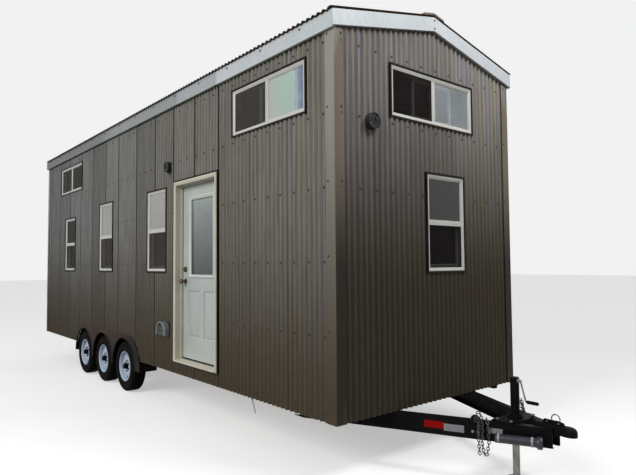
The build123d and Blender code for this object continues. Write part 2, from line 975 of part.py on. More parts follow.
def jack_crank():
    """Crank ahead of the jack: shaft out of the tube, an arm that slants down and out, and a grip."""
    start = jack_x + jack_tube_radius + crank_play
    arm_x = start + crank_reach
    end_x = arm_x + crank_slant
    low = crank_height - crank_drop
    grip_x = end_x + crank_shoulder
    shaft = rod(crank_shaft, (start, 0, crank_height), (arm_x + crank_rod, 0, crank_height))
    arm = rod(crank_rod, (arm_x, 0, crank_height), (end_x, 0, low))
    pin = rod(crank_rod, (end_x, 0, low), (grip_x, 0, low))
    grip = rod(grip_radius, (grip_x, 0, low), (grip_x + grip_length, 0, low))
    return shaft + arm + pin + grip + Pos(end_x, 0, low) * Sphere(crank_rod)


# Wheels, drawn about the Z axis with their outer side up

def tyre():
    """Tyre section turned about the axle: bead, bulged sidewall, shoulder and tread."""
    half = tyre_width / 2
    section = [
        (bead_radius, -half * bead_share),
        (tyre_radius * 0.79, -half),
        (tyre_radius * 0.955, -half * 0.86),
        (tyre_radius, -half * 0.70),
        (tyre_radius, half * 0.70),
        (tyre_radius * 0.955, half * 0.86),
        (tyre_radius * 0.79, half),
        (bead_radius, half * bead_share),
    ]
    return revolve(Plane.XZ * outline(section), axis=Axis.Z)


def rim():
    """Steel wheel: barrel with a bead flange each side, a dished disc with holes, a hub and lugs."""
    half = rim_width / 2
    barrel = [
        (bead_radius - frame_fit, -half),
        (bead_radius - frame_fit, half),
        (rim_radius, half),
        (rim_radius, half + rim_gauge),
        (bead_radius - rim_gauge - rim_well, half + rim_gauge),
        (bead_radius - rim_gauge - rim_well, -half - rim_gauge),
        (rim_radius, -half - rim_gauge),
        (rim_radius, -half),
    ]
    wheel = revolve(Plane.XZ * outline(barrel), axis=Axis.Z)
    disc_top = half + rim_gauge - disc_inset
    disc_low = disc_top - disc_thickness
    disc = extrude(Plane.XY.offset(disc_low) * Circle(bead_radius - rim_gauge), amount=disc_thickness)
    for index in range(disc_holes):
        angle = radians(360 / disc_holes * index)
        spot = (disc_hole_circle * cos(angle), disc_hole_circle * sin(angle))
        disc = disc - rod(disc_hole_radius, (*spot, disc_low - 1), (*spot, disc_top + 1))
    wheel = wheel + disc
    wheel = wheel + extrude(Plane.XY.offset(disc_top) * Circle(hub_radius), amount=hub_length)
    for index in range(lugs):
        angle = radians(360 / lugs * (index + 0.5))
        spot = (lug_circle * cos(angle), lug_circle * sin(angle))
        wheel = wheel + rod(lug_radius, (*spot, disc_top), (*spot, disc_top + lug_length))
    bore = spindle_radius + spindle_play
    return wheel - rod(bore, (0, 0, disc_low - 1), (0, 0, disc_top + hub_bore_depth))


def on_axle(shape, x, side):
    """Put a wheel piece at its axle, side -1 for curb and 1 for street."""
    place = Pos(x, side * (tyre_outer - tyre_width / 2), tyre_radius)
    return place * Rot(-side * 90, 0, 0) * shape


def axles():
    """Three tubes with a spindle at each end, reaching into the hubs."""
    pieces = []
    disc_y = tyre_outer - tyre_width / 2 + rim_width / 2 + rim_gauge - disc_inset
    tube_end = tyre_outer - tyre_width - axle_clearance
    spindle_end = disc_y + spindle_overlap
    for x in axle_x:
        tube = rod(axle_radius, (x, -tube_end, tyre_radius), (x, tube_end, tyre_radius))
        spindle = rod(spindle_radius, (x, -spindle_end, tyre_radius), (x, spindle_end, tyre_radius))
        pieces.append(tube + spindle)
    return pieces


def springs():
    """Arched leaf packs that sit on the axle tubes."""
    pieces = []
    low = tyre_radius + axle_radius
    half = spring_length / 2
    end_low = low + spring_rise
    end_high = end_low + spring_end_thickness
    for x in axle_x:
        underside = ThreePointArc((x - half, end_low), (x, low), (x + half, end_low))
        front_end = Line((x + half, end_low), (x + half, end_high))
        top = ThreePointArc((x + half, end_high), (x, low + spring_thickness), (x - half, end_high))
        rear_end = Line((x - half, end_high), (x - half, end_low))
        face = make_face(Curve() + [underside, front_end, top, rear_end])
        for side in (-1, 1):
            start = -(side * spring_offset + spring_width / 2)
            pieces.append(extrude(Plane.XZ.offset(start) * face, amount=spring_width))
    return pieces


def spring_hangers():
    """Plate pairs under the rails that flank the spring ends."""
    pieces = []
    stations = [axle_x[0] + axle_spacing / 2, (axle_x[0] + axle_x[1]) / 2]
    stations += [(axle_x[1] + axle_x[2]) / 2, axle_x[2] - axle_spacing / 2]
    reach = (axle_spacing - spring_length) / 2 + hanger_foot_overlap
    low = tyre_radius + axle_radius + spring_rise - hanger_foot_drop
    gap = spring_width / 2 + hanger_play
    for x in stations:
        head = (x - hanger_half_top, x + hanger_half_top)
        points = [(head[0], rail_bottom), (head[1], rail_bottom), (x + reach, low), (x - reach, low)]
        for side in (-1, 1):
            y = side * spring_offset
            pair = prism_y(points, y - gap - hanger_plate, y - gap)
            pair = pair + prism_y(points, y + gap, y + gap + hanger_plate)
            top = block(head, (y - gap, y + gap), (rail_bottom - hanger_plate, rail_bottom))
            pieces.append(pair + top)
    return pieces


def fender():
    """Curb-side fender over three wheels: top, ends, skirt with three arches, inner wall."""
    gauge = fender_gauge
    shell = fender_prism(0, fender_bottom, fender_inner, fender_outer)
    shell = shell - fender_prism(-gauge, fender_bottom - 1, fender_inner + gauge, fender_outer - gauge)
    inside = (-(fender_inner + fender_gauge + frame_fit), -(fender_inner - 1))
    shell = shell - block((fender_rear_x - 1, fender_front_x + 1), inside, (0, rail_bottom))
    skirt_back = -fender_outer + 2 * fender_gauge
    for x in axle_x:
        shell = shell - rod(arch_radius, (x, -fender_outer - 1, tyre_radius), (x, skirt_back, tyre_radius))
    return shell


# Floor and fittings

def floor_deck():
    """Floor panel on the frame, notched for the wheel fenders."""
    edge = core_y - apron_thickness
    span = (core_rear + apron_thickness, core_front - apron_thickness)
    deck = block(span, (-edge, edge), (rail_top, floor_top))
    notch = block(
        (fender_rear_x - frame_fit, fender_front_x + frame_fit),
        (-side_y, -(fender_inner - frame_fit)),
        (0, ridge_height),
    )
    return deck - notch - other_side(notch)


def vent_hood():
    """Half-round hood over a louvred outlet beside the door."""
    x = front_x - hood_centre
    radius = hood_width / 2
    top = hood_bottom + hood_height
    dome_z = top - radius
    wall_y = -side_y - hood_base
    mouth_y = -side_y - hood_reach
    base = block((x - radius, x + radius), (wall_y, -side_y), (hood_bottom, top))
    dome = rod(radius, (x, mouth_y, dome_z), (x, wall_y, dome_z))
    dome = dome - rod(radius - hood_gauge, (x, mouth_y + hood_gauge, dome_z), (x, wall_y + 1, dome_z))
    dome = dome - block((x - radius, x + radius), (mouth_y - 1, wall_y), (0, dome_z))
    return base + dome


def electrical_boxes():
    """Round outlet boxes on the curb and front walls."""
    x = front_x - curb_box_back
    height = curb_box_height
    curb = rod(box_radius_curb, (x, -side_y - box_depth, height), (x, -side_y, height))
    y = front_box_y
    height = front_box_height
    front = rod(box_radius_front, (front_x, y, height), (front_x + box_depth, y, height))
    return [curb, front]


def document_tube():
    """Round holder on two pads along the curb tongue beam, with a larger screw cap at its front."""
    out = tube_cap_radius + frame_fit
    front = tube_front_gap
    rear = front + tube_length
    height = tube_centre_height
    tube = rod(tube_radius, tongue_point(rear, out, height), tongue_point(front, out, height))
    cap_back = tongue_point(front + tube_cap_length, out, height)
    tube = tube + rod(tube_cap_radius, cap_back, tongue_point(front, out, height))
    for back in (rear - tube_strap_inset, front + tube_cap_length + tube_strap_inset):
        middle = (out + frame_fit) / 2
        pad = Box(tube_strap_width, out - frame_fit, tube_strap_height)
        tube = tube + Pos(*tongue_point(back, middle, height)) * Rot(0, 0, tongue_angle()) * pad
    return tube


def pipe_stub():
    """Short drain pipe that slants forward under the floor's edge, its head cut flat."""
    x = front_x - stub_back
    y = -(core_y - apron_thickness) + cross_flange / 2
    run = stub_slant / (cross_bottom - stub_bottom)
    head = cross_bottom + 2 * stub_radius
    pipe = rod(stub_radius, (x - run * 2 * stub_radius, y, head), (x + stub_slant, y, stub_bottom))
    span = (x - cross_flange, x + stub_slant + cross_flange)
    return pipe & block(span, (y - stub_radius, y + stub_radius), (0, cross_bottom))


def write(name, pieces):
    """Write one node, which may hold several separate solids."""
    shape = Compound(children=list(pieces)) if isinstance(pieces, list) else pieces
    export_step(shape, "parts/" + name + ".step")


def main():
    """Build every piece and write it to its own file."""
    os.makedirs("parts", exist_ok=True)
    write("main_rails", main_rails())
    write("cross_channels", floor_frame())
    write("side_channels", side_channels())
    beam = tongue_beam()
    write("tongue_beams", [beam, other_side(beam)])
    write("coupler", coupler())
    bracket = chain_bracket()
    write("hitch_brackets", [bracket, other_side(bracket)])
    write("jack_tube", jack_tube())
    write("jack_leg", jack_leg())
    write("jack_crank", jack_crank())
    write("axles", axles())
    write("leaf_springs", springs())
    write("spring_hangers", spring_hangers())
    for name, x in zip(axle_names, axle_x):
        for side_name, side in (("curb", -1), ("street", 1)):
            write("tyre_" + side_name + "_" + name, on_axle(tyre(), x, side))
            write("rim_" + side_name + "_" + name, on_axle(rim(), x, side))
    shell = fender()
    write("wheel_fenders", [shell, other_side(shell)])
    write("floor_deck", floor_deck())
    wall = side_wall()
    rear, front, over, under = split_curb_wall(wall)
    write("curb_wall_rear", rear)
    write("curb_wall_front", front)
    write("curb_wall_over_door", over)
    write("curb_wall_under_door", under)
    write("street_wall", other_side(wall))
    write("front_wall", front_wall())
    write("rear_wall", rear_wall())
    write("curb_siding", curb_siding())
    write("street_siding", other_side(side_siding()))
    gable = front_siding()
    write("gable_siding", [gable, Pos(2 * middle_x, 0, 0) * Rot(0, 0, 180) * gable])
    write("corner_trims", corner_trims())
    deck = roof_deck()
    write("roof_decks", [deck, other_side(deck)])
    sheet = roof_sheet()
    write("roof_sheets", [sheet, other_side(sheet)])
    write("ridge_cap", ridge_cap())
    rake = rake_fascia()
    write("rake_fascias", [rake, mirror(rake, about=Plane.YZ.offset(middle_x))])
    eave = eave_fascia()
    write("eave_fascias", [eave, other_side(eave)])
    curb_frames, curb_panes = window_set(curb_windows, on_curb)
    front_frames, front_panes = window_set(end_windows, on_front)
    rear_frames, rear_panes = window_set(end_windows, on_rear)
    write("curb_window_frames", curb_frames)
    write("street_window_frames", [other_side(frame) for frame in curb_frames])
    write("end_window_frames", front_frames + rear_frames)
    street_panes = [other_side(pane) for pane in curb_panes]
    write("window_glass", curb_panes + street_panes + front_panes + rear_panes)
    write("door_frame", door_frame())
    write("jamb_hinges", jamb_hinges())
    write("door_slab", door_slab())
    write("door_glass", door_glass())
    write("door_hardware", door_hardware() + door_hinges())
    write("vent_hood", vent_hood())
    write("electrical_boxes", electrical_boxes())
    write("document_tube", document_tube())
    write("pipe_stub", pipe_stub())


if __name__ == "__main__":
    main()
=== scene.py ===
import logging
import math
from dataclasses import dataclass, field
from enum import Enum
from typing import Any, Callable, Sequence

import bmesh
import bpy
import numpy as np
from mathutils import Matrix


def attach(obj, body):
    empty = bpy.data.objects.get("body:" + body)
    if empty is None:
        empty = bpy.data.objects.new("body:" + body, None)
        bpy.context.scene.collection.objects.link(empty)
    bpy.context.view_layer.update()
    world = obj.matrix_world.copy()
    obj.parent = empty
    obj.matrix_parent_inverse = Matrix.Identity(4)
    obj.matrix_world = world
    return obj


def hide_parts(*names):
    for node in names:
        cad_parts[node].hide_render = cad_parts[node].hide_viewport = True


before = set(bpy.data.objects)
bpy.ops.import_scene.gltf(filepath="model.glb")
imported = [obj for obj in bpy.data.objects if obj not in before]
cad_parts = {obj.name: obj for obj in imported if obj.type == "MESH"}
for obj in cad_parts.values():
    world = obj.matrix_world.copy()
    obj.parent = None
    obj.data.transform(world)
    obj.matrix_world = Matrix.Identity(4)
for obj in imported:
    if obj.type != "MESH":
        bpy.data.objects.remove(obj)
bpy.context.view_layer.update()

# Tiny house on a three-axle trailer. Sizes are in metres in the frame's own axes:
# +X along the tongue, +Y to the street side, +Z up, and the ground is Z = 0.

Array = np.ndarray
Colour = tuple[float, float, float]
log = logging.getLogger("tiny_house")


class Signal:
    """One output of a shader tree that takes part in Python arithmetic."""

    def __init__(self, tree: "ShaderTree", socket: Any) -> None:
        """Wrap a socket of a tree."""
        self.tree = tree
        self.socket = socket

    def _math(self, operation: str, first: Any, second: Any = 0.0) -> "Signal":
        """Add one Math node on two values."""
        return self.tree.node("ShaderNodeMath", {"operation": operation}, {0: first, 1: second})

    def __add__(self, other: Any) -> "Signal":
        """Sum of two values."""
        return self._math("ADD", self, other)

    def __sub__(self, other: Any) -> "Signal":
        """Difference of two values."""
        return self._math("SUBTRACT", self, other)

    def __rsub__(self, other: Any) -> "Signal":
        """Difference with the number first."""
        return self._math("SUBTRACT", other, self)

    def __mul__(self, other: Any) -> "Signal":
        """Product of two values."""
        return self._math("MULTIPLY", self, other)

    def __rmul__(self, other: Any) -> "Signal":
        """Product with the number first."""
        return self._math("MULTIPLY", other, self)

    def __truediv__(self, other: Any) -> "Signal":
        """Quotient of two values."""
        return self._math("DIVIDE", self, other)

    def __mod__(self, other: Any) -> "Signal":
        """Remainder that is never below zero."""
        return self._math("FLOORED_MODULO", self, other)

    def __gt__(self, other: Any) -> "Signal":
        """One where the value is above the other, else zero."""
        return self._math("GREATER_THAN", self, other)

    def __abs__(self) -> "Signal":
        """Size of the value without its sign."""
        return self._math("ABSOLUTE", self)

    def fit(self, low: float, high: float, to_low: float = 0.0, to_high: float = 1.0) -> "Signal":
        """Map the value from one span to another in a straight line, held at the ends.

        Args:
            low: value that maps to to_low.
            high: value that maps to to_high.
            to_low: result at low.
            to_high: result at high.

        Returns:
            The mapped value.
        """
        values = {0: self, 1: low, 2: high, 3: to_low, 4: to_high}
        return self.tree.node("ShaderNodeMapRange", {"clamp": True}, values)

    def ease(self, low: float, high: float) -> "Signal":
        """Share from 0 at low to 1 at high along three times its square less twice its cube."""
        share = self.fit(low, high)
        return share * share * (3.0 - 2.0 * share)


class ShaderTree:
    """Node tree of one material, with one method that adds any node."""

    def __init__(self, name: str) -> None:
        """Start a material that has only its output and a Principled shader."""
        self.material = bpy.data.materials.new(name)
        self.material.use_nodes = True
        self.nodes = self.material.node_tree.nodes
        self.links = self.material.node_tree.links
        self.shader = self.nodes["Principled BSDF"]
        self.place: Signal | None = None

    def node(self, kind: str, settings: dict[str, Any] | None = None, values: dict[Any, Any] | None = None,
             out: Any = 0) -> Signal:
        """Add a node.

        Args:
            kind: Blender's type name of the node.
            settings: properties of the node, with "stops" for a ramp's positions and colours.
            values: a number, colour or Signal for each input, by name or place.
            out: name or place of the output to return.

        Returns:
            The chosen output.
        """
        made = self.nodes.new(kind)
        for key, value in (settings or {}).items():
            if key == "stops":
                ramp = made.color_ramp.elements
                for place, (position, colour) in enumerate(value):
                    stop = ramp[place] if place < len(ramp) else ramp.new(position)
                    stop.position = position
                    stop.color = (*colour, 1.0)
            else:
                setattr(made, key, value)
        for key, value in (values or {}).items():
            self.feed(made.inputs[key], value)
        return Signal(self, made.outputs[out])

    def feed(self, socket: Any, value: Any) -> None:
        """Link a Signal to a socket, or set its number or colour."""
        if isinstance(value, Signal):
            self.links.new(value.socket, socket)
        elif isinstance(value, tuple) and len(value) == 3 and socket.type == "RGBA":
            socket.default_value = (*value, 1.0)
        else:
            socket.default_value = value

    def position(self) -> Signal:
        """Object coordinates, which are the frame's own metres."""
        if self.place is None:
            self.place = self.node("ShaderNodeTexCoord", out="Object")
        return self.place

    def axis(self, name: str) -> Signal:
        """One coordinate of the position, named X, Y or Z."""
        return self.node("ShaderNodeSeparateXYZ", values={0: self.position()}, out=name)

    def noise(self, across: float, upward: float, detail: float = 3.0, rough: float = 0.5,
              shift: float = 0.0) -> Signal:
        """Soft random pattern.

        Args:
            across: features to the metre along the ground's two axes.
            upward: features to the metre up the height.
            detail: octaves of finer pattern.
            rough: weight of the finer pattern.
            shift: distance that moves the pattern, so that two differ.

        Returns:
            A value near one half, between zero and one.
        """
        scaled = self.node("ShaderNodeMapping", values={
            0: self.position(), 1: (shift, shift, shift), 3: (across, across, upward)})
        return self.node("ShaderNodeTexNoise", values={
            "Vector": scaled, "Scale": 1.0, "Detail": detail, "Roughness": rough})

    def attribute(self, name: str) -> Signal:
        """Value that the mesh carries at each point."""
        return self.node("ShaderNodeAttribute", {"attribute_name": name}, out="Fac")

    def blend(self, share: Any, first: Any, second: Any, how: str = "MIX") -> Signal:
        """Mix two colours by a share from zero to one."""
        return self.node("ShaderNodeMix", {"data_type": "RGBA", "blend_type": how},
                         {0: share, 6: first, 7: second}, out=2)

    def bump(self, height: Signal, strength: float, distance: float) -> Signal:
        """Normal that follows a height pattern, distance metres deep."""
        return self.node("ShaderNodeBump", values={
            "Height": height, "Strength": strength, "Distance": distance})


@dataclass(frozen=True)
class Finish:
    """Surface that drifts softly between two colours, with fine grain."""

    name: str
    colour: Colour
    worn: Colour
    roughness: float = 0.5
    spread: float = 0.12
    metallic: float = 0.0
    drift: float = 4.0
    grain: float = 180.0
    depth: float = 0.0003
    specular: float = 0.5

    def material(self) -> bpy.types.Material:
        """Material of this finish, made once and kept by name."""
        known = bpy.data.materials.get(self.name)
        if known is not None:
            return known
        tree = ShaderTree(self.name)
        tree.feed(tree.shader.inputs["Base Color"], self.paint(tree))
        tree.feed(tree.shader.inputs["Roughness"], self.gloss(tree))
        tree.feed(tree.shader.inputs["Metallic"], self.metallic)
        tree.feed(tree.shader.inputs["Specular IOR Level"], self.specular)
        tree.feed(tree.shader.inputs["Normal"], tree.bump(self.relief(tree), 0.6, self.depth))
        self.extra(tree)
        return tree.material

    def paint(self, tree: ShaderTree) -> Signal:
        """Colour over the surface."""
        share = tree.noise(self.drift, self.drift, 4.0, 0.6).fit(0.35, 0.68)
        return tree.blend(share, self.colour, self.worn)

    def gloss(self, tree: ShaderTree) -> Signal:
        """Roughness over the surface."""
        low = self.roughness - self.spread / 2
        return tree.noise(self.drift * 2.3, self.drift * 2.3, shift=3.1).fit(0.3, 0.7, low, low + self.spread)

    def relief(self, tree: ShaderTree) -> Signal:
        """Height of the fine grain."""
        return tree.noise(self.grain, self.grain, 2.0)

    def extra(self, tree: ShaderTree) -> None:
        """Set what only some finishes have."""


@dataclass(frozen=True)
class WeatheredSheet(Finish):
    """Corrugated steel that has weathered in upright streaks, each sheet in its own tone."""

    tan: Colour = (0.150, 0.122, 0.083)
    lilac: Colour = (0.112, 0.104, 0.112)
    dark: Colour = (0.035, 0.031, 0.027)
    soil_and_shade: Colour = (0.048, 0.032, 0.014)
    groove: float = 0.55
    seam: float = 0.92
    foot: float = 0.0
    foot_span: tuple[float, float] = (2.6, 0.5)
    cool: Colour = (0.208, 0.214, 0.216)
    rearward: float = 0.0

    def paint(self, tree: ShaderTree) -> Signal:
        """Grey steel, cooler to the rear, in tan and lilac streaks, with painted shade in the grooves and at the laps,
        and soil and painted shade at the foot.
        """
        broad = tree.noise(2.6, 0.35, 3.0, 0.55).fit(0.38, 0.66)
        ribbed = tree.noise(13.0, 0.5, 2.0, 0.5, shift=7.0)
        fine = tree.noise(75.0, 1.6, 3.0, 0.6, shift=2.0)
        colour = tree.blend(broad, self.colour, self.worn)
        colour = tree.blend(ribbed.fit(0.52, 0.74, 0.0, 0.8), colour, self.tan)
        colour = tree.blend(ribbed.fit(0.46, 0.28, 0.0, 0.7), colour, self.lilac)
        colour = tree.blend(tree.axis("X").fit(2.2, -3.5, 0.0, self.rearward), colour, self.cool)
        colour = tree.blend(fine.fit(0.52, 0.30, 0.0, 0.5), colour, self.dark)
        tone = tree.attribute("tone").fit(0.0, 1.0, 0.0, 0.35)
        colour = tree.blend(tone, colour, self.dark)
        # Painted shade: the valleys of the corrugation are darkened as shade would darken them.
        groove = tree.attribute("groove").fit(0.15, 1.0, 0.0, self.groove)
        colour = tree.blend(groove, colour, self.dark)
        # Painted shadow: a near-black line at each lap stands in for the shadow of the lapped edge.
        colour = tree.blend(tree.attribute("seam").fit(0.1, 0.8, 0.0, self.seam), colour, (0.008, 0.007, 0.006))
        # The foot darkens towards the ground: partly soil, partly painted shade.
        return tree.blend(tree.axis("Z").ease(*self.foot_span) * self.foot, colour, self.soil_and_shade)

    def relief(self, tree: ShaderTree) -> Signal:
        """Fine pits over slight upright flow."""
        return tree.noise(240.0, 90.0, 2.0) + 0.6 * tree.noise(60.0, 4.0, 2.0)


@dataclass(frozen=True)
class CornerSheet(WeatheredSheet):
    """Folded corner trim: its legs on the ends of the house are a browner lit copy of the same sheet, with painted
    shadow that darkens them sooner towards the ground.
    """

    end: Colour = (0.172, 0.143, 0.108)
    end_shadow: Colour = (0.025, 0.023, 0.018)
    end_shadow_span: tuple[float, float] = (2.85, 1.60)

    def paint(self, tree: ShaderTree) -> Signal:
        """Drifting tone, with soil and painted shade at the foot of the side legs, and painted light and shadow on the
        end legs.
        """
        drift = tree.noise(9.0, 0.6, 3.0, 0.55).fit(0.3, 0.7, 0.88, 1.10)
        side = tree.blend(tree.noise(2.0, 0.4).fit(0.4, 0.6), self.colour, self.worn)
        side = tree.blend(tree.axis("Z").ease(*self.foot_span) * self.foot, side, self.soil_and_shade)
        # Painted light and shadow: the end legs' browner tone and their dark lower part stand in for the light on the
        # ends of the house.
        end = tree.blend(tree.axis("Z").ease(*self.end_shadow_span), self.end, self.end_shadow)
        both = tree.blend(tree.attribute("tone"), side, end)
        return tree.node("ShaderNodeVectorMath", {"operation": "SCALE"}, {0: both, "Scale": drift})


@dataclass(frozen=True)
class SpangledZinc(Finish):
    """Galvanised sheet with the crystal pattern of its zinc, faint runs, and painted shade along some lengths where
    less sky is reflected.
    """

    painted_shade: Colour = (0.10, 0.108, 0.106)

    def paint(self, tree: ShaderTree) -> Signal:
        """Crystals in two close tones, dulled in runs, then darkened by painted shade where the tone mark is set."""
        crystals = tree.node("ShaderNodeTexVoronoi", values={
            "Vector": tree.position(), "Scale": 34.0}, out="Color")
        tone = tree.node("ShaderNodeSeparateColor", values={0: crystals}).fit(0.0, 1.0, 0.0, 0.55)
        runs = tree.noise(3.0, 0.8, 4.0, 0.6).fit(0.4, 0.75, 0.0, 0.7)
        colour = tree.blend(tone, self.colour, self.worn)
        colour = tree.blend(runs, colour, self.worn)
        # Painted shade: where the tone mark is set, the zinc darkens as if it reflected less sky.
        return tree.blend(tree.attribute("tone"), colour, self.painted_shade)


@dataclass(frozen=True)
class Pane(Finish):
    """Window glass, clear or with a pale tint that is painted reflection, and with painted shade towards its sill."""

    clear: float = 1.0
    shade: Colour = (0.03, 0.034, 0.032)
    head: float = 2.6
    sill: float = 1.65
    sink: float = 0.0
    index: float = 1.5

    def paint(self, tree: ShaderTree) -> Signal:
        """Drifting tint, blended towards the painted shade from the head down to the sill."""
        low = tree.axis("Z").fit(self.head, self.sill, 0.0, self.sink)
        return tree.blend(low, super().paint(tree), self.shade)

    def extra(self, tree: ShaderTree) -> None:
        """Let light through."""
        tree.shader.inputs["Transmission Weight"].default_value = self.clear
        tree.shader.inputs["IOR"].default_value = self.index


@dataclass(frozen=True)
class PaintedReflectionPane(Pane):
    """Glass whose pale tint, a painted reflection of the sky, drifts along the wall from rose through its own colour to
    violet.

    The lit edges of the sash stile behind it are painted on as two pale lines.
    """

    rose: Colour = (0.66, 0.65, 0.61)
    violet_reflection: Colour = (0.20, 0.24, 0.44)
    span: tuple[float, float] = (2.74, 3.25)
    pale: Colour = (0.62, 0.78, 0.82)
    stile: tuple[float, float] = (3.112, 3.158)

    def paint(self, tree: ShaderTree) -> Signal:
        """Painted reflection: rose at the left end, violet in the last third, shifted to and fro by slow noise."""
        low, high = self.span
        along = tree.axis("X") + (tree.noise(5.0, 5.0, 2.0) - 0.5) * 0.20
        colour = tree.blend(along.fit(low, low + 0.16, 1.0, 0.0), super().paint(tree), self.rose)
        colour = tree.blend(along.fit(high - 0.15, high - 0.03, 0.0, 1.0), colour, self.violet_reflection)
        # Painted highlights where the sash stile's edges would show through the glass.
        for place in self.stile:
            colour = tree.blend(abs(tree.axis("X") - place).fit(0.0085, 0.003, 0.0, 0.6), colour, self.pale)
        return colour


@dataclass(frozen=True)
class Screen(Finish):
    """Insect screen: fine dark weave that lets a little through."""

    cover: float = 0.86

    def extra(self, tree: ShaderTree) -> None:
        """Open the weave between its threads."""
        threads = tree.node("ShaderNodeTexWave", {"bands_direction": "Z"},
                            {"Vector": tree.position(), "Scale": 120.0, "Distortion": 0.0}, out="Fac")
        tree.feed(tree.shader.inputs["Alpha"], threads.fit(0.0, 1.0, self.cover - 0.1, self.cover + 0.08))


@dataclass(frozen=True)
class Boards(Finish):
    """Sheathing or floor boards, with a grain along their length and a dark joint between them."""

    board: float = 0.14

    def paint(self, tree: ShaderTree) -> Signal:
        """Grain drawn out along X, joints across Y and Z."""
        grain = tree.node("ShaderNodeMapping", values={0: tree.position(), 3: (1.3, 26.0, 26.0)})
        rings = tree.node("ShaderNodeTexNoise", values={"Vector": grain, "Scale": 1.0, "Detail": 5.0})
        colour = tree.blend(rings.fit(0.35, 0.7), self.colour, self.worn)
        run = tree.axis("Y") + tree.axis("Z")
        joint = abs(run / self.board % 1.0 - 0.5) > 0.485
        return tree.blend(joint * 0.7, colour, (0.03, 0.02, 0.012))

    def relief(self, tree: ShaderTree) -> Signal:
        """Raised grain."""
        return tree.noise(60.0, 60.0, 4.0)


@dataclass(frozen=True)
class RoadGrime(Finish):
    """Paint or rubber under dust that gathers low down."""

    dust: Colour = (0.16, 0.13, 0.10)
    reach: float = 0.75
    amount: float = 0.45

    def paint(self, tree: ShaderTree) -> Signal:
        """Base colour, with more dust towards the ground."""
        base = super().paint(tree)
        low = tree.axis("Z").fit(self.reach, 0.0, 0.15, 1.0)
        patchy = tree.noise(14.0, 14.0, 5.0, 0.65, shift=5.0).fit(0.42, 0.72, 0.0, self.amount)
        return tree.blend(low * patchy, base, self.dust)


@dataclass(frozen=True)
class GroundReflectionPaint(RoadGrime):
    """Black paint with a painted reflection of the brown ground high up on the panel, behind the front wheel."""

    ground_reflection: Colour = (0.038, 0.021, 0.013)

    def paint(self, tree: ShaderTree) -> Signal:
        """Base colour, with the painted reflection of the ground in patches towards the top."""
        high = tree.axis("Z").fit(0.56, 0.74) * tree.axis("X").fit(-0.55, -0.85)
        patchy = tree.noise(6.0, 6.0, 3.0).fit(0.3, 0.6, 0.4, 1.0)
        return tree.blend(high * patchy, super().paint(tree), self.ground_reflection)


# Long walls: the foot darkens partly with soil and partly with painted shade; the grooves and laps carry painted shade.
SIDING = WeatheredSheet("weathered_siding", (0.210, 0.201, 0.170), (0.250, 0.237, 0.203), 0.62, 0.16,
                        metallic=0.042, depth=0.0004, specular=0.13, groove=0.40, foot=0.88, tan=(0.262, 0.220, 0.155),
                        lilac=(0.207, 0.196, 0.210), soil_and_shade=(0.046, 0.034, 0.018), rearward=0.85)
# Ends of the house: this lighter copy of the siding is painted light, and its strong darkening towards the foot is
# painted shade, partly soil.
GABLE = WeatheredSheet("weathered_gable_siding", (0.262, 0.252, 0.246), (0.304, 0.286, 0.278), 0.62, 0.16,
                       metallic=0.042, depth=0.0004, specular=0.10, groove=0.32, seam=0.45, foot=0.955,
                       foot_span=(3.8, 1.4), tan=(0.315, 0.255, 0.182), lilac=(0.250, 0.234, 0.256),
                       soil_and_shade=(0.042, 0.034, 0.020))
ROOFING = WeatheredSheet("weathered_roofing", (0.165, 0.125, 0.092), (0.210, 0.158, 0.115), 0.58, 0.18,
                         metallic=0.05, depth=0.0004, specular=0.15)
RIDGE = WeatheredSheet("weathered_ridge_cap", (0.190, 0.135, 0.090), (0.240, 0.172, 0.115), 0.60, 0.16,
                       metallic=0.05, depth=0.0004, specular=0.15)
TRIM = CornerSheet("folded_corner_trim", (0.270, 0.257, 0.225), (0.305, 0.290, 0.255), 0.58, 0.16,
                   metallic=0.042, depth=0.0003, specular=0.12, foot=0.95, foot_span=(3.5, 0.5))
# Near-black trim, partly painted shadow: it stands in for the shaded gap beside window frames and the door casing.
DARK_TRIM = Finish("dark_window_trim", (0.012, 0.0105, 0.009), (0.022, 0.019, 0.016), 0.6, specular=0.08)
FLASHING = SpangledZinc("galvanised_flashing", (0.54, 0.575, 0.59), (0.44, 0.475, 0.49), 0.46, 0.12, metallic=0.08)
HOOD = SpangledZinc("galvanised_hood", (0.26, 0.275, 0.275), (0.17, 0.185, 0.185), 0.42, 0.16, metallic=0.4)
SCREW = Finish("painted_screw_heads", (0.045, 0.038, 0.030), (0.085, 0.066, 0.048), 0.5, drift=40.0, specular=0.13)
VINYL = Finish("window_vinyl", (0.56, 0.555, 0.52), (0.50, 0.485, 0.44), 0.38, 0.10, drift=5.0, depth=0.0001)
# Painted light: the sash is the same white vinyl as the frames, made lighter so that it shows behind screens and glass.
SASH = Finish("window_sash_painted_light", (0.80, 0.79, 0.77), (0.72, 0.71, 0.69), 0.42, drift=5.0, depth=0.0001)
CREAM = Finish("cream_door_paint", (0.56, 0.54, 0.43), (0.50, 0.47, 0.36), 0.42, 0.12, drift=3.0, depth=0.0002)
ENAMEL = Finish("white_door_enamel", (0.47, 0.505, 0.475), (0.42, 0.455, 0.43), 0.36, 0.10, drift=3.0,
                depth=0.00015, specular=0.35)
LITE_FRAME = Finish("moulded_lite_frame", (0.60, 0.63, 0.59), (0.53, 0.56, 0.53), 0.38, drift=4.0)
SEAL = Finish("door_seal", (0.014, 0.013, 0.012), (0.026, 0.024, 0.022), 0.8, specular=0.08)
BRONZE = Finish("aged_bronze", (0.050, 0.036, 0.026), (0.16, 0.11, 0.065), 0.34, 0.2, metallic=0.85, drift=30.0)
NICKEL = Finish("satin_nickel", (0.42, 0.41, 0.38), (0.30, 0.29, 0.27), 0.34, metallic=0.9, drift=20.0)
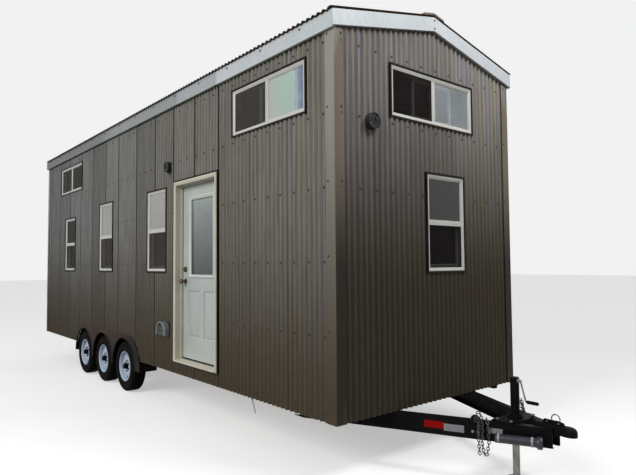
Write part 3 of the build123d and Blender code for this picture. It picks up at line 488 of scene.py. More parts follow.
BLACK = RoadGrime("black_trailer_paint", (0.0022, 0.0021, 0.0027), (0.0048, 0.0043, 0.0050), 0.50, 0.2, drift=6.0,
                  depth=0.0003, reach=0.9, amount=0.03, specular=0.05)
FENDER = GroundReflectionPaint("black_fender_paint", (0.0032, 0.0027, 0.0025), (0.0060, 0.0045, 0.0040), 0.50, 0.12,
                      drift=2.5, depth=0.0001, reach=0.8, amount=0.03, specular=0.05)
RUBBER = RoadGrime("dusty_rubber", (0.0040, 0.0038, 0.0036), (0.0085, 0.0078, 0.0070), 0.86, 0.1, drift=22.0,
                   depth=0.0008, reach=0.7, amount=0.05, specular=0.04)
# The blue cast on the white enamel is painted skylight.
WHEEL = RoadGrime("white_wheel_enamel", (0.46, 0.54, 0.66), (0.40, 0.47, 0.58), 0.36, 0.14, drift=9.0,
                  reach=0.5, amount=0.22)
STEEL = RoadGrime("plated_steel", (0.26, 0.25, 0.235), (0.14, 0.125, 0.11), 0.45, 0.2, metallic=0.75, drift=18.0,
                  reach=0.6, amount=0.35)
PLASTIC = Finish("grey_box_plastic", (0.020, 0.020, 0.021), (0.040, 0.038, 0.036), 0.5, drift=20.0, specular=0.13)
TUBE = RoadGrime("dark_tube_plastic", (0.012, 0.014, 0.021), (0.024, 0.027, 0.038), 0.30, 0.12, drift=9.0,
                 amount=0.12, specular=0.4)
LABEL = Finish("pale_tube_bands", (0.33, 0.33, 0.33), (0.22, 0.22, 0.225), 0.45, drift=26.0)
CHAIN = RoadGrime("dull_chain_steel", (0.085, 0.082, 0.078), (0.040, 0.036, 0.032), 0.45, 0.2, metallic=0.75,
                  drift=18.0, reach=0.6, amount=0.2)
PIPE = Finish("white_pipe", (0.48, 0.47, 0.44), (0.36, 0.34, 0.30), 0.4, drift=30.0)
RED_TAPE = Finish("red_reflector", (0.32, 0.003, 0.002), (0.25, 0.002, 0.002), 0.45, drift=18.0, grain=300.0,
                  specular=0.08)
WHITE_TAPE = Finish("white_reflector", (0.22, 0.22, 0.232), (0.18, 0.18, 0.19), 0.45, drift=18.0, grain=300.0)
FRAMING = Boards("sheathed_framing", (0.30, 0.235, 0.16), (0.22, 0.165, 0.105), 0.7, board=0.30)
PLANKS = Boards("floor_boards", (0.24, 0.155, 0.085), (0.17, 0.105, 0.055), 0.5)
GREEN_GLASS = Pane("shaded_glass_green", (0.016, 0.018, 0.010), (0.010, 0.012, 0.007), 0.10, 0.04, drift=3.0,
                   depth=0.00002, clear=0.35, specular=0.10, index=1.10)
# Painted shade: darker from the head down to the sill.
DARK_GLASS = Pane("shaded_glass", (0.085, 0.088, 0.085), (0.060, 0.063, 0.060), 0.04, 0.03, drift=1.2, depth=0.00002,
                  clear=0.7, specular=0.14, sink=0.75)
SASH_GLASS = Pane("sash_glass", (0.05, 0.05, 0.05), (0.035, 0.035, 0.035), 0.05, 0.03, drift=1.2, depth=0.00002,
                  clear=0.8, specular=0.2)
# Its pale green and the drift to rose and violet are painted reflection of the sky.
PALE_GLASS = PaintedReflectionPane("pale_glass_green_painted_reflection", (0.54, 0.75, 0.64), (0.60, 0.71, 0.66), 0.10, 0.05, drift=2.4,
                      depth=0.00002, clear=0.40)
# The pale tints of these three panes are painted reflection of the sky.
GREY_REFLECTING_GLASS = Pane("pale_glass_grey_painted_reflection", (0.36, 0.375, 0.350), (0.29, 0.31, 0.29), 0.08, 0.05, drift=1.8,
                  depth=0.00002, clear=0.35)
ROSE_REFLECTING_GLASS = Pane("pale_glass_rose_painted_reflection", (0.44, 0.425, 0.385), (0.38, 0.37, 0.335), 0.08, 0.05, drift=1.8,
                   depth=0.00002, clear=0.3)
OPEN_GLASS = Pane("pale_glass_thin_painted_reflection", (0.66, 0.72, 0.74), (0.50, 0.55, 0.58), 0.05, 0.04, drift=1.8,
                  depth=0.00002, clear=0.80)
# The pale tint is painted reflection of the sky, and the pane darkens towards the sill with painted shade.
DOOR_GLASS = Pane("door_glass_pane", (0.60, 0.67, 0.63), (0.50, 0.57, 0.54), 0.04, 0.02, drift=1.5,
                  depth=0.00002, clear=0.62, sink=0.97)
GLASSES = (GREEN_GLASS, SASH_GLASS, DARK_GLASS, PALE_GLASS, GREY_REFLECTING_GLASS, ROSE_REFLECTING_GLASS, OPEN_GLASS)
SCREENING = Screen("insect_screen", (0.010, 0.0080, 0.0080), (0.022, 0.017, 0.016), 0.85, drift=2.0, cover=0.55,
                   specular=0.05)
# Painted light: a lighter copy of the screen for the long walls, standing in for the light on them.
LIT_SCREENING = Screen("insect_screen_painted_light", (0.080, 0.073, 0.064), (0.060, 0.054, 0.048), 0.85, drift=2.0,
                         cover=0.55, specular=0.06)


class Shape:
    """A mesh under construction, kept as whole arrays of points and faces."""

    def __init__(self) -> None:
        """Start with nothing."""
        self.points: list[Array] = []
        self.marks: list[Array] = []
        self.faces: list[tuple[Array, int, bool]] = []
        self.count = 0

    def _keep(self, points: Array, tone: Any, groove: Any, seam: Any) -> int:
        """Store points with their three marks, and return the place of the first."""
        first = self.count
        marks = np.zeros((len(points), 3))
        for column, value in enumerate((tone, groove, seam)):
            marks[:, column] = np.asarray(value, float).reshape(-1)
        self.points.append(np.asarray(points, float))
        self.marks.append(marks)
        self.count += len(points)
        return first

    def grid(self, points: Array, wrap_u: bool = False, wrap_v: bool = False, keep: Array | None = None,
             finish: int = 0, smooth: bool = True, tone: Any = 0.0, groove: Any = 0.0, seam: Any = 0.0) -> "Shape":
        """Add quads between the neighbours of a grid of points.

        A quad's outside is the side from which rows, then columns, turn counter-clockwise.

        Args:
            points: rows by columns by three.
            wrap_u: join the last row to the first.
            wrap_v: join the last column to the first.
            keep: which quads to keep, rows less one by columns less one.
            finish: place of the quads' material.
            smooth: shade the quads as one curve.
            tone: mark of the whole sheet.
            groove: mark of its valleys.
            seam: mark of its laps.

        Returns:
            This shape.
        """
        rows, columns = points.shape[:2]
        first = self._keep(points.reshape(-1, 3), tone, groove, seam)
        index = first + np.arange(rows * columns).reshape(rows, columns)
        if wrap_u:
            index = np.concatenate([index, index[:1]], 0)
        if wrap_v:
            index = np.concatenate([index, index[:, :1]], 1)
        quads = np.stack([index[:-1, :-1], index[1:, :-1], index[1:, 1:], index[:-1, 1:]], -1)
        quads = quads.reshape(-1, 4) if keep is None else quads[keep]
        self.faces.append((quads, finish, smooth))
        return self

    def cap(self, points: Array, finish: int = 0) -> "Shape":
        """Add one flat face through points that turn counter-clockwise seen from outside."""
        first = self._keep(points, 0.0, 0.0, 0.0)
        self.faces.append((first + np.arange(len(points))[None, :], finish, False))
        return self

    def join(self, other: "Shape", matrix: Array | None = None, finish: int | None = None) -> "Shape":
        """Add another shape.

        Args:
            other: the shape to add.
            matrix: four by four, which moves it; one that mirrors has its faces turned back.
            finish: place of the material for all its faces, or None to keep its own.

        Returns:
            This shape.
        """
        matrix = np.eye(4) if matrix is None else matrix
        points = np.concatenate(other.points) @ matrix[:3, :3].T + matrix[:3, 3]
        marks = np.concatenate(other.marks)
        first = self._keep(points, marks[:, 0], marks[:, 1], marks[:, 2])
        step = -1 if np.linalg.det(matrix[:3, :3]) < 0 else 1
        for faces, own, smooth in other.faces:
            self.faces.append((first + faces[:, ::step], own if finish is None else finish, smooth))
        return self

    def repeat(self, other: "Shape", places: Array, turn: Array | None = None,
               finish: int | None = None) -> "Shape":
        """Add one copy of a shape at each of many places, all turned by one three by three matrix."""
        turn = np.eye(3) if turn is None else turn
        points = np.concatenate(other.points) @ turn.T
        first = self._keep((np.asarray(places)[:, None] + points).reshape(-1, 3), 0.0, 0.0, 0.0)
        shifts = first + len(points) * np.arange(len(places))
        for faces, own, smooth in other.faces:
            copies = (faces[None] + shifts[:, None, None]).reshape(-1, faces.shape[1])
            self.faces.append((copies, own if finish is None else finish, smooth))
        return self

    def mesh(self, name: str) -> bpy.types.Mesh:
        """Blender mesh of everything added so far, with its marks as attributes."""
        points = np.concatenate(self.points).astype(np.float32)
        marks = np.concatenate(self.marks).astype(np.float32)
        sizes = np.concatenate([np.full(len(f), f.shape[1]) for f, _, _ in self.faces])
        mesh = bpy.data.meshes.new(name)
        mesh.vertices.add(len(points))
        mesh.vertices.foreach_set("co", points.ravel())
        mesh.loops.add(int(sizes.sum()))
        mesh.loops.foreach_set("vertex_index", np.concatenate([f.ravel() for f, _, _ in self.faces]).astype(np.int32))
        mesh.polygons.add(len(sizes))
        mesh.polygons.foreach_set("loop_start", np.concatenate([[0], np.cumsum(sizes)[:-1]]).astype(np.int32))
        finishes = np.concatenate([np.full(len(f), m) for f, m, _ in self.faces])
        smooth = np.concatenate([np.full(len(f), s) for f, _, s in self.faces])
        mesh.polygons.foreach_set("material_index", finishes.astype(np.int32))
        mesh.polygons.foreach_set("use_smooth", smooth.astype(bool))
        for column, mark in enumerate(("tone", "groove", "seam")):
            layer = mesh.attributes.new(mark, "FLOAT", "POINT")
            layer.data.foreach_set("value", np.ascontiguousarray(marks[:, column]))
        mesh.update(calc_edges=True)
        return mesh


def prism(outline: Sequence[Sequence[float]], low: float, high: float) -> Shape:
    """Closed block: a counter-clockwise outline in the first two axes, carried along the third."""
    flat = np.asarray(outline, float)
    foot = np.column_stack([flat, np.full(len(flat), low)])
    head = np.column_stack([flat, np.full(len(flat), high)])
    shape = Shape().grid(np.stack([foot, head], 1), wrap_u=True, smooth=False)
    return shape.cap(head).cap(foot[::-1])


def block(low: Sequence[float], high: Sequence[float]) -> Shape:
    """Closed block between two corners."""
    return prism([(low[0], low[1]), (high[0], low[1]), (high[0], high[1]), (low[0], high[1])], low[2], high[2])


def rounded(half_x: float, half_y: float, radius: float, steps: int = 4) -> Array:
    """Counter-clockwise rectangle about the origin, its corners quarter circles of the radius."""
    turn = np.linspace(0, math.pi / 2, steps + 1)
    quarter = radius * np.column_stack([np.cos(turn), np.sin(turn)])
    signs = np.array([[1, 1], [-1, 1], [-1, -1], [1, -1]])
    centres = signs * (np.array([half_x, half_y]) - radius)
    spins = [np.array([[math.cos(a), math.sin(a)], [-math.sin(a), math.cos(a)]]) for a in np.arange(4) * math.pi / 2]
    return np.concatenate([centres[i] + quarter @ spins[i] for i in range(4)])


def lathe(profile: Sequence[Sequence[float]], sides: int = 48, closed: bool = False, smooth: bool = True) -> Shape:
    """Surface of revolution: each profile point, a radius and a height, turned about the third axis.

    Args:
        profile: points of radius and height, going up the outside.
        sides: steps round the axis.
        closed: join the last profile point to the first.
        smooth: shade it as one curve.

    Returns:
        The surface.
    """
    radius, height = np.asarray(profile, float).T
    turn = np.linspace(0, 2 * math.pi, sides, endpoint=False)
    points = np.stack([np.outer(np.cos(turn), radius), np.outer(np.sin(turn), radius),
                       np.broadcast_to(height, (sides, len(height)))], -1)
    return Shape().grid(points, wrap_u=True, wrap_v=closed, smooth=smooth)


def tube(path: Sequence[Sequence[float]], radius: Any, sides: int = 12, capped: bool = True,
         closed: bool = False) -> Shape:
    """Round bar: at each point of a path, a circle in the plane across it.

    Args:
        path: points along the middle of the bar.
        radius: one radius, or one for each point.
        sides: corners of the circle.
        capped: close both ends.
        closed: join the end of the path to its start.

    Returns:
        The bar.
    """
    line = np.asarray(path, float)
    ahead = np.roll(line, -1, 0) - np.roll(line, 1, 0) if closed else np.gradient(line, axis=0)
    ahead = ahead / np.linalg.norm(ahead, axis=1, keepdims=True)
    flat = np.argmin(np.abs(ahead).sum(0))
    side = np.cross(ahead, np.eye(3)[flat])
    side = side / np.linalg.norm(side, axis=1, keepdims=True)
    rise = np.cross(side, ahead)
    turn = np.linspace(0, 2 * math.pi, sides, endpoint=False)
    size = np.broadcast_to(np.asarray(radius, float), len(line))[:, None, None]
    rings = np.cos(turn)[None, :, None] * side[:, None] + np.sin(turn)[None, :, None] * rise[:, None]
    points = line[:, None] + size * rings
    shape = Shape().grid(points, wrap_u=closed, wrap_v=True)
    if capped and not closed:
        shape.cap(points[0]).cap(points[-1][::-1])
    return shape


def moulding(size: Sequence[float], profile: Sequence[Sequence[float]], centre: Sequence[float] = (0.0, 0.0),
             closed: bool = True) -> Shape:
    """Mitred frame: each profile point, an inset and a height, set in from a rectangle's four corners.

    Args:
        size: width and height of the rectangle.
        profile: points from the outer edge over the face to the inner edge.
        centre: middle of the rectangle.
        closed: join the last profile point to the first.

    Returns:
        The frame, facing along the third axis.
    """
    inset, height = np.asarray(profile, float).T
    signs = np.array([[-1, -1], [1, -1], [1, 1], [-1, 1]])
    points = np.empty((4, len(inset), 3))
    reach = np.asarray(size, float)[None, None] / 2 - inset[None, :, None]
    points[..., :2] = np.asarray(centre, float) + signs[:, None] * reach
    points[..., 2] = height
    return Shape().grid(points, wrap_u=True, wrap_v=closed, smooth=False)


def plate(size: Sequence[float], holes: Sequence[Sequence[float]], height: float = 0.0) -> Shape:
    """Flat sheet about the origin with holes given as (low x, high x, low y, high y)."""
    across = np.unique(np.concatenate([[-size[0] / 2, size[0] / 2]] + [h[:2] for h in holes]))
    upward = np.unique(np.concatenate([[-size[1] / 2, size[1] / 2]] + [h[2:] for h in holes]))
    x, y = np.meshgrid(across, upward, indexing="ij")
    keep = solid_cells(across, upward, holes)
    return Shape().grid(np.stack([x, y, np.full_like(x, height)], -1), keep=keep, smooth=False)


def solid_cells(across: Array, upward: Array, holes: Sequence[Sequence[float]]) -> Array:
    """Which cells between grid lines lie outside every hole, by the middle of each cell."""
    x = ((across[1:] + across[:-1]) / 2)[:, None]
    y = ((upward[1:] + upward[:-1]) / 2)[None, :]
    keep = np.ones((len(across) - 1, len(upward) - 1), bool)
    for low_x, high_x, low_y, high_y in holes:
        keep &= ~((x > low_x) & (x < high_x) & (y > low_y) & (y < high_y))
    return keep


def moved(x: float = 0.0, y: float = 0.0, z: float = 0.0, turn: Sequence[Sequence[float]] | None = None) -> Array:
    """Four by four matrix whose columns are the three turned axes and the place."""
    matrix = np.eye(4)
    if turn is not None:
        matrix[:3, :3] = np.asarray(turn, float).T
    matrix[:3, 3] = (x, y, z)
    return matrix


def spun(angle: float) -> Array:
    """Turn about the third axis by an angle in radians."""
    c, s = math.cos(angle), math.sin(angle)
    return moved(turn=((c, s, 0), (-s, c, 0), (0, 0, 1)))


# Each turn says where the local x, y and z axes point in the frame.
OUT_TO_CURB = ((1, 0, 0), (0, 0, 1), (0, -1, 0))
OUT_TO_FRONT = ((0, 1, 0), (0, 0, 1), (1, 0, 0))
TURNED_OVER = ((-1, 0, 0), (0, 1, 0), (0, 0, -1))
OTHER_SIDE = np.diag([1.0, -1.0, 1.0, 1.0])


class Workshop:
    """Turns shapes into dressed objects and reports each one."""

    weld = 1e-5
    crease = math.radians(34)
    bevel_from = math.radians(40)

    def piece(self, name: str, shape: Shape, finishes: Sequence[Finish], slot: str, body: str = "root",
              replaces: Sequence[str] = (), solid: bool = True, gauge: float = 0.0,
              bevel: float = 0.0) -> bpy.types.Object:
        """Make one object of a shape.

        Args:
            name: name of the piece.
            shape: its points and faces.
            finishes: its materials, in the order that the faces name them.
            slot: the record's material slot; not used.
            body: the body it rides on.
            replaces: nodes that it stands for.
            solid: merge its doubles and turn its closed parts outwards.
            gauge: thickness grown inwards from an open sheet.
            bevel: width of its softened edges.

        Returns:
            The object.
        """
        mesh = shape.mesh(name)
        for finish in finishes:
            mesh.materials.append(finish.material())
        if solid:
            work = bmesh.new()
            work.from_mesh(mesh)
            bmesh.ops.remove_doubles(work, verts=work.verts, dist=self.weld)
            bmesh.ops.recalc_face_normals(work, faces=work.faces)
            work.to_mesh(mesh)
            work.free()
        mesh.set_sharp_from_angle(angle=self.crease)
        if gauge:
            self.sharpen_rims(mesh)
        made = bpy.data.objects.new(name, mesh)
        bpy.context.scene.collection.objects.link(made)
        if gauge:
            wall = made.modifiers.new("gauge", "SOLIDIFY")
            wall.thickness = gauge
            wall.offset = -1.0
        if bevel:
            edge = made.modifiers.new("edges", "BEVEL")
            edge.width = bevel
            edge.segments = 2
            edge.limit_method = "ANGLE"
            edge.angle_limit = self.bevel_from
            edge.harden_normals = True
        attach(made, body)
        if replaces:
            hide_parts(*replaces)
        log.info("%s: %d faces on %s", name, len(mesh.polygons), body)
        return made

    def sheet(self, name: str, shape: Shape, finish: Finish, slot: str, node: str, gauge: float = 0.001) -> None:
        """Open sheet that grows inwards by its gauge and stands for a node."""
        self.piece(name, shape, [finish], slot, replaces=[node], solid=False, gauge=gauge)

    def screws(self, name: str, shape: Shape, slot: str) -> None:
        """Screw heads, whose undersides stay open."""
        self.piece(name, shape, [SCREW], slot, solid=False)

    @staticmethod
    def sharpen_rims(mesh: bpy.types.Mesh) -> None:
        """Mark the edges that only one face uses as sharp, so that a sheet's rim leaves its face's shading flat."""
        used = np.empty(len(mesh.loops), np.int32)
        mesh.loops.foreach_get("edge_index", used)
        rim = np.bincount(used, minlength=len(mesh.edges)) == 1
        mark = mesh.attributes.get("sharp_edge") or mesh.attributes.new("sharp_edge", "BOOLEAN", "EDGE")
        sharp = np.zeros(len(mesh.edges), bool)
        mark.data.foreach_get("value", sharp)
        mark.data.foreach_set("value", sharp | rim)

    def dress(self, finish: Finish, *nodes: str) -> None:
        """Give CAD nodes that stay a better material."""
        for node in nodes:
            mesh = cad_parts[node].data
            mesh.materials.clear()
            mesh.materials.append(finish.material())
            log.info("%s: dressed in %s", node, finish.name)


@dataclass(frozen=True)
class Shell:
    """Shared sizes of the house body."""

    front: float = 3.675
    rear: float = -4.935
    side: float = 1.270
    core: float = 1.248
    foot: float = 0.487
    ridge: float = 4.135
    slope: float = 2.65 / 12.0
    deck_top: float = 4.113
    deck_under: float = 3.979
    overhang: float = 0.028
    eave: float = 1.300
    sheet_edge: float = 1.325
    rib_depth: float = 0.022

    @property
    def tilt(self) -> float:
        """Angle of each roof half to the level."""
        return math.atan(self.slope)

    def underside(self, offset: Array) -> Array:
        """Height of the roof deck's lower face at a distance from the ridge line."""
        return self.deck_under - self.slope * np.abs(offset)

    def wall(self, name: "Side") -> Array:
        """Matrix of a wall: local x along it, y up it and z out of the plane behind its sheets."""
        if name is Side.CURB:
            return moved(y=-self.core, turn=OUT_TO_CURB)
        if name is Side.STREET:
            return moved(y=self.core, turn=((1, 0, 0), (0, 0, 1), (0, 1, 0)))
        if name is Side.FRONT:
            return moved(x=self.front - self.rib_depth, turn=OUT_TO_FRONT)
        return moved(x=self.rear + self.rib_depth, turn=((0, -1, 0), (0, 0, 1), (-1, 0, 0)))


class Side(Enum):
    """The four sides of the house."""

    CURB = "curb"
    STREET = "street"
    FRONT = "front"
    REAR = "rear"


class Kind(Enum):
    """The two kinds of window."""

    SLIDER = "slider"
    HUNG = "hung"


@dataclass(frozen=True)
class Window:
    """One window: its middle along the wall, sill height, size, kind and panes."""

    middle: float
    sill: float
    width: float
    height: float
    kind: Kind
    pane: Pane
    opened: float = 0.0

    def hole(self, grow: float) -> tuple[float, float, float, float]:
        """Its outline on the wall, grown all round."""
        return (self.middle - self.width / 2 - grow, self.middle + self.width / 2 + grow,
                self.sill - grow, self.sill + self.height + grow)

    @property
    def centre(self) -> tuple[float, float]:
        """Middle of the window on its wall."""
        return self.middle, self.sill + self.height / 2


def slider(middle: float, pane: Pane, opened: float = 0.0) -> Window:
    """Side-sliding window of the upper row."""
    return Window(middle, 3.078, 1.190, 0.457, Kind.SLIDER, pane, opened)


def hung(middle: float, height: float, pane: Pane) -> Window:
    """Window with a lower sash that slides up."""
    return Window(middle, 1.687, 0.556, height, Kind.HUNG, pane)


LONG_WALL = (slider(-3.425, GREEN_GLASS), hung(-3.450, 0.914, GREEN_GLASS), hung(-1.620, 1.024, GREY_REFLECTING_GLASS),
             hung(0.236, 1.024, ROSE_REFLECTING_GLASS), slider(2.699, PALE_GLASS, 0.39))
GABLE_WALL = (slider(0.012, OPEN_GLASS, 0.30), hung(0.168, 0.914, DARK_GLASS))
WINDOWS = {Side.CURB: LONG_WALL, Side.STREET: LONG_WALL, Side.FRONT: GABLE_WALL, Side.REAR: GABLE_WALL}


def screw_head() -> Shape:
    """Washer-faced hexagon head, eight and six sides round."""
    washer = lathe([(0.0110, 0.0), (0.0110, 0.0012), (0.0, 0.0018)], 8, smooth=False)
    return washer.join(lathe([(0.0062, 0.0012), (0.0062, 0.0052), (0.0, 0.0060)], 6, smooth=False))


@dataclass
class Cladding:
    """Corrugated sheets over one wall or roof slope, lapped side to side and screwed down."""

    place: Array
    low: float
    high: float
    foot: Callable[[Array], Array]
    head: Callable[[Array], Array]
    holes: Sequence[tuple[float, float, float, float]]
    seams: Sequence[float]
    rows: Sequence[float]
    seed: int
    pitch: float = 0.0678
    depth: float = 0.022
    gauge: float = 0.001
    lap: float = 0.0018
    samples: int = 8
    shift: float = 0.0
    plain_beyond: float = math.inf
    seam_width: float = 0.008
    faint_seam: float = 0.22
    screw_edge: float = 0.02
    screw_hole: float = 0.03
    knots: Sequence[float] = ()

    @property
    def count(self) -> int:
        """Number of whole ribs."""
        return math.floor((self.high - self.low) / self.pitch + 1e-6)

    @property
    def margin(self) -> float:
        """Plain strip that is over at each end."""
        return (self.high - self.low - self.count * self.pitch) / 2

    def phase(self, along: Array) -> Array:
        """Ribs counted along the wall, a whole number in each valley and held in the margins."""
        return np.clip((along - self.low - self.margin) / self.pitch, 0, self.count) + self.shift

    def wave(self, along: Array) -> Array:
        """Depth: the gauge, and half the rib's rise times one less the cosine of its phase."""
        return self.gauge + (self.depth - self.gauge) * (1 - np.cos(2 * math.pi * self.phase(along))) / 2

    def edges(self) -> list[float]:
        """Sheet edges, each seam moved to the flank just short of the nearest valley."""
        start = self.phase(np.array(self.seams))
        snapped = np.array(self.seams) + (np.round(start) - start - 0.16) * self.pitch
        return [self.low, *snapped.tolist(), self.high]

    def sheets(self) -> Shape:
        """All sheets of the slope, each as a grid over distance along and height.

        The depth of a point is the wave at its distance, lifted smoothly over the last rib of each sheet, where it
        lies on its neighbour. Heights are held between the foot and head lines, and flat cells are dropped.

        Returns:
            The sheets in the frame's axes.
        """
        shape = Shape()
        tones = np.random.default_rng(self.seed).random(64)
        levels = [h[2] for h in self.holes] + [h[3] for h in self.holes] + list(self.rows)
        span = np.linspace(self.low, self.high, 400)
        upward = np.unique(np.round([self.foot(span).min(), self.head(span).max(), *levels], 5))
        edges = self.edges()
        for number, (start, end) in enumerate(zip(edges[:-1], edges[1:])):
            begin = start if number == 0 else start - 0.6 * self.pitch
            base = np.arange(begin, end, self.pitch / self.samples)
            near = [end - 0.004, end - 0.009, end - 0.020, start + 0.004, start + 0.009, start + 0.020]
            cuts = [h[0] for h in self.holes] + [h[1] for h in self.holes] + near + list(self.knots)
            cuts = [c for c in cuts if begin < c < end]
            across = np.unique(np.round(np.concatenate([base, cuts, [begin, end]]), 5))
            a, z = np.meshgrid(across, upward, indexing="ij")
            z = np.clip(z, self.foot(a), self.head(a))
            rise = np.clip((a - (end - self.pitch)) / (0.4 * self.pitch), 0, 1) * (number < len(edges) - 2)
            out = self.wave(a) + self.lap * rise * rise * (3 - 2 * rise)
            # The seam mark places the painted shadow of each lapped edge.
            seam = np.exp(-((a - end) / self.seam_width) ** 2) * (number < len(edges) - 2)
            seam = seam + np.exp(-((a - start) / self.seam_width) ** 2) * (number > 0)
            seam = seam * np.where(a > self.plain_beyond, self.faint_seam, 1.0)
            groove = (1 + np.cos(2 * math.pi * self.phase(a))) / 2
            tall = np.diff(z, axis=1)
            keep = solid_cells(across, upward, self.holes) & ((tall[:-1] > 1e-5) | (tall[1:] > 1e-5))
            local = np.stack([a, z, out], -1).reshape(-1, 3) @ self.place[:3, :3].T + self.place[:3, 3]
            part = Shape().grid(local.reshape(*a.shape, 3), keep=keep, tone=tones[number], groove=groove.ravel(),
                                seam=seam.ravel())
            mirrored = np.linalg.det(self.place[:3, :3]) < 0
            shape.join(part if not mirrored else flipped(part))
        return shape

    def screws(self, every: int, skip: int = 1) -> Shape:
        """Screw heads on the crests, a row at each row height, one to every so many ribs."""
        ribs = np.arange(skip, self.count - 1, every) + 0.5 - self.shift
        along = self.low + self.margin + ribs * self.pitch
        a, z = (part.ravel() for part in np.meshgrid(along, np.asarray(self.rows)))
        keep = (z > self.foot(a) + self.screw_edge) & (z < self.head(a) - self.screw_edge)
        off = self.screw_hole
        for low_a, high_a, low_z, high_z in self.holes:
            keep &= ~((a > low_a - off) & (a < high_a + off) & (z > low_z - off) & (z < high_z + off))
        local = np.stack([a, z, np.full_like(a, self.depth)], -1)[keep]
        places = local @ self.place[:3, :3].T + self.place[:3, 3]
        return Shape().repeat(screw_head(), places, self.place[:3, :3])


def flipped(shape: Shape) -> Shape:
    """The same shape with its faces turned over."""
    shape.faces = [(faces[:, ::-1], finish, smooth) for faces, finish, smooth in shape.faces]
    return shape


@dataclass
class Envelope:
    """Siding, corner trims, roof sheets, ridge cap and fascias."""

    shop: Workshop
    shell: Shell = field(default_factory=Shell)
    gap: float = 0.016
    rows: tuple[float, ...] = (0.56, 1.17, 1.78, 2.39, 3.00, 3.60)
    long_seams: tuple[float, ...] = (-4.705, -4.095, -3.485, -2.875, -2.265, -1.662, -1.073, -0.438, 0.160, 0.695,
                                     1.235, 1.833, 2.445, 3.055)
    gable_seams: tuple[float, ...] = (-0.78, -0.33, 0.33, 0.62)
    arch_front: float = -0.318
    arch_rear: float = -2.942
    arch_top: float = 0.768
    arch_corner: float = 0.430
    eave_drop: float = 0.010
    trim_screws: float = 0.61
    flashing: float = 0.0012
    # Painted shade along the eave trims: one value at each place, darker towards the rear.
    eave_places: tuple[float, ...] = (-4.97, -3.2, -2.0, -1.2, 0.88, 0.90, 1.79, 1.81)
    eave_painted_shades: tuple[float, ...] = (1.0, 0.96, 0.93, 0.66, 0.63, 0.42, 0.38, 0.0)
    eave_joints: tuple[float, float] = (0.887, 1.800)
    door_hole: tuple[float, float, float, float] = (0.783, 1.825, 0.6367, 2.7643)

    def build(self) -> None:
        """Make and dress every piece of the envelope."""
        self.side_walls()
        self.gables()
        self.corners()
        self.roof()
        self.ridge()
        self.rakes()
        self.eaves()

    def arch_foot(self, along: Array) -> Array:
        """Foot of the long siding: the plain foot, or the cut behind the fender's skirt where that is higher.

        The cut is flat between two quarter circles, whose height is the square root of the radius squared less
        the distance in from the arch's straight end squared.
        """
        radius = self.arch_corner
        inside = np.minimum(self.arch_front - along, along - self.arch_rear)
        reach = np.clip(radius - inside, 0, radius)
        arch = self.arch_top - radius + np.sqrt(radius ** 2 - reach ** 2)
        return np.where(inside > 0, np.maximum(arch, self.shell.foot), self.shell.foot)

    def long_cladding(self, side: Side) -> Cladding:
        """Sheets of one long wall."""
        shell = self.shell
        holes = [w.hole(self.gap) for w in WINDOWS[side]]
        if side is Side.CURB:
            low, high, foot, head = self.door_hole
            holes.append((low - 0.013, high + 0.013, foot, head + 0.013))
        top = float(shell.underside(np.array(shell.side)))
        bend = self.arch_corner * (1 - np.cos(np.linspace(0.0, math.pi / 2, 16)))
        knots = [*(self.arch_front - bend), *(self.arch_rear + bend)]
        return Cladding(shell.wall(side), shell.rear, shell.front, self.arch_foot, lambda a: np.full_like(a, top),
                        holes, self.long_seams, self.rows, 5 + len(holes), plain_beyond=2.1, knots=knots)

    def gable_cladding(self, side: Side) -> Cladding:
        """Sheets of one gable, cut to the roof slope."""
        shell = self.shell
        holes = [w.hole(self.gap) for w in WINDOWS[side]]
        return Cladding(shell.wall(side), -shell.core, shell.core, lambda a: np.full_like(a, shell.foot),
                        lambda a: shell.underside(a), holes, self.gable_seams, self.rows, 11)

    def side_walls(self) -> None:
        """Curb and street siding, with screws."""
        for side, node in ((Side.CURB, "curb_siding"), (Side.STREET, "street_siding")):
            cladding = self.long_cladding(side)
            self.shop.sheet(node + "_sheets", cladding.sheets(), SIDING, "siding", node)
            self.shop.screws(node + "_screws", cladding.screws(3), "siding")

    def gables(self) -> None:
        """Front and rear siding, with screws."""
        sheets, screws = Shape(), Shape()
        for side in (Side.FRONT, Side.REAR):
            cladding = self.gable_cladding(side)
            sheets.join(cladding.sheets())
            screws.join(cladding.screws(3, 0))
        self.shop.sheet("gable_siding_sheets", sheets, GABLE, "siding", "gable_siding")
        self.shop.screws("gable_siding_screws", screws, "siding")

    def corners(self) -> None:
        """Folded trims round the four corners: a hemmed angle section carried up each corner."""
        shell = self.shell
        leg, gauge, bend, hem = 0.110, 0.002, 0.005, 0.004
        turn = np.linspace(0, math.pi / 2, 5)
        arc = np.column_stack([-bend + bend * np.sin(turn), -bend + bend * np.cos(turn)])
        outer = np.concatenate([[(-leg, -hem), (-leg, 0)], arc, [(0, -bend - 0.002), (0, -leg), (-hem, -leg)]])
        inner = np.array([(-hem + gauge, -leg + gauge), (-gauge, -leg + gauge), (-gauge, -gauge),
                          (-leg + gauge, -gauge), (-leg + gauge, -hem + gauge)])
        section = np.concatenate([outer, inner])
        top = float(shell.underside(np.array(shell.side + gauge))) - 0.001
        heights = np.linspace(shell.foot, top, 12)
        trims, screws = Shape(), Shape()
        seen = screw_head()
        for x, way in ((shell.front, 1), (shell.rear, -1)):
            for side in (1, -1):
                xy = section * (way, side) + (x + way * gauge, side * (shell.side + gauge))
                grid = np.concatenate([np.broadcast_to(xy, (len(heights), *xy.shape)),
                                       np.broadcast_to(heights[:, None, None], (len(heights), len(xy), 1))], -1)
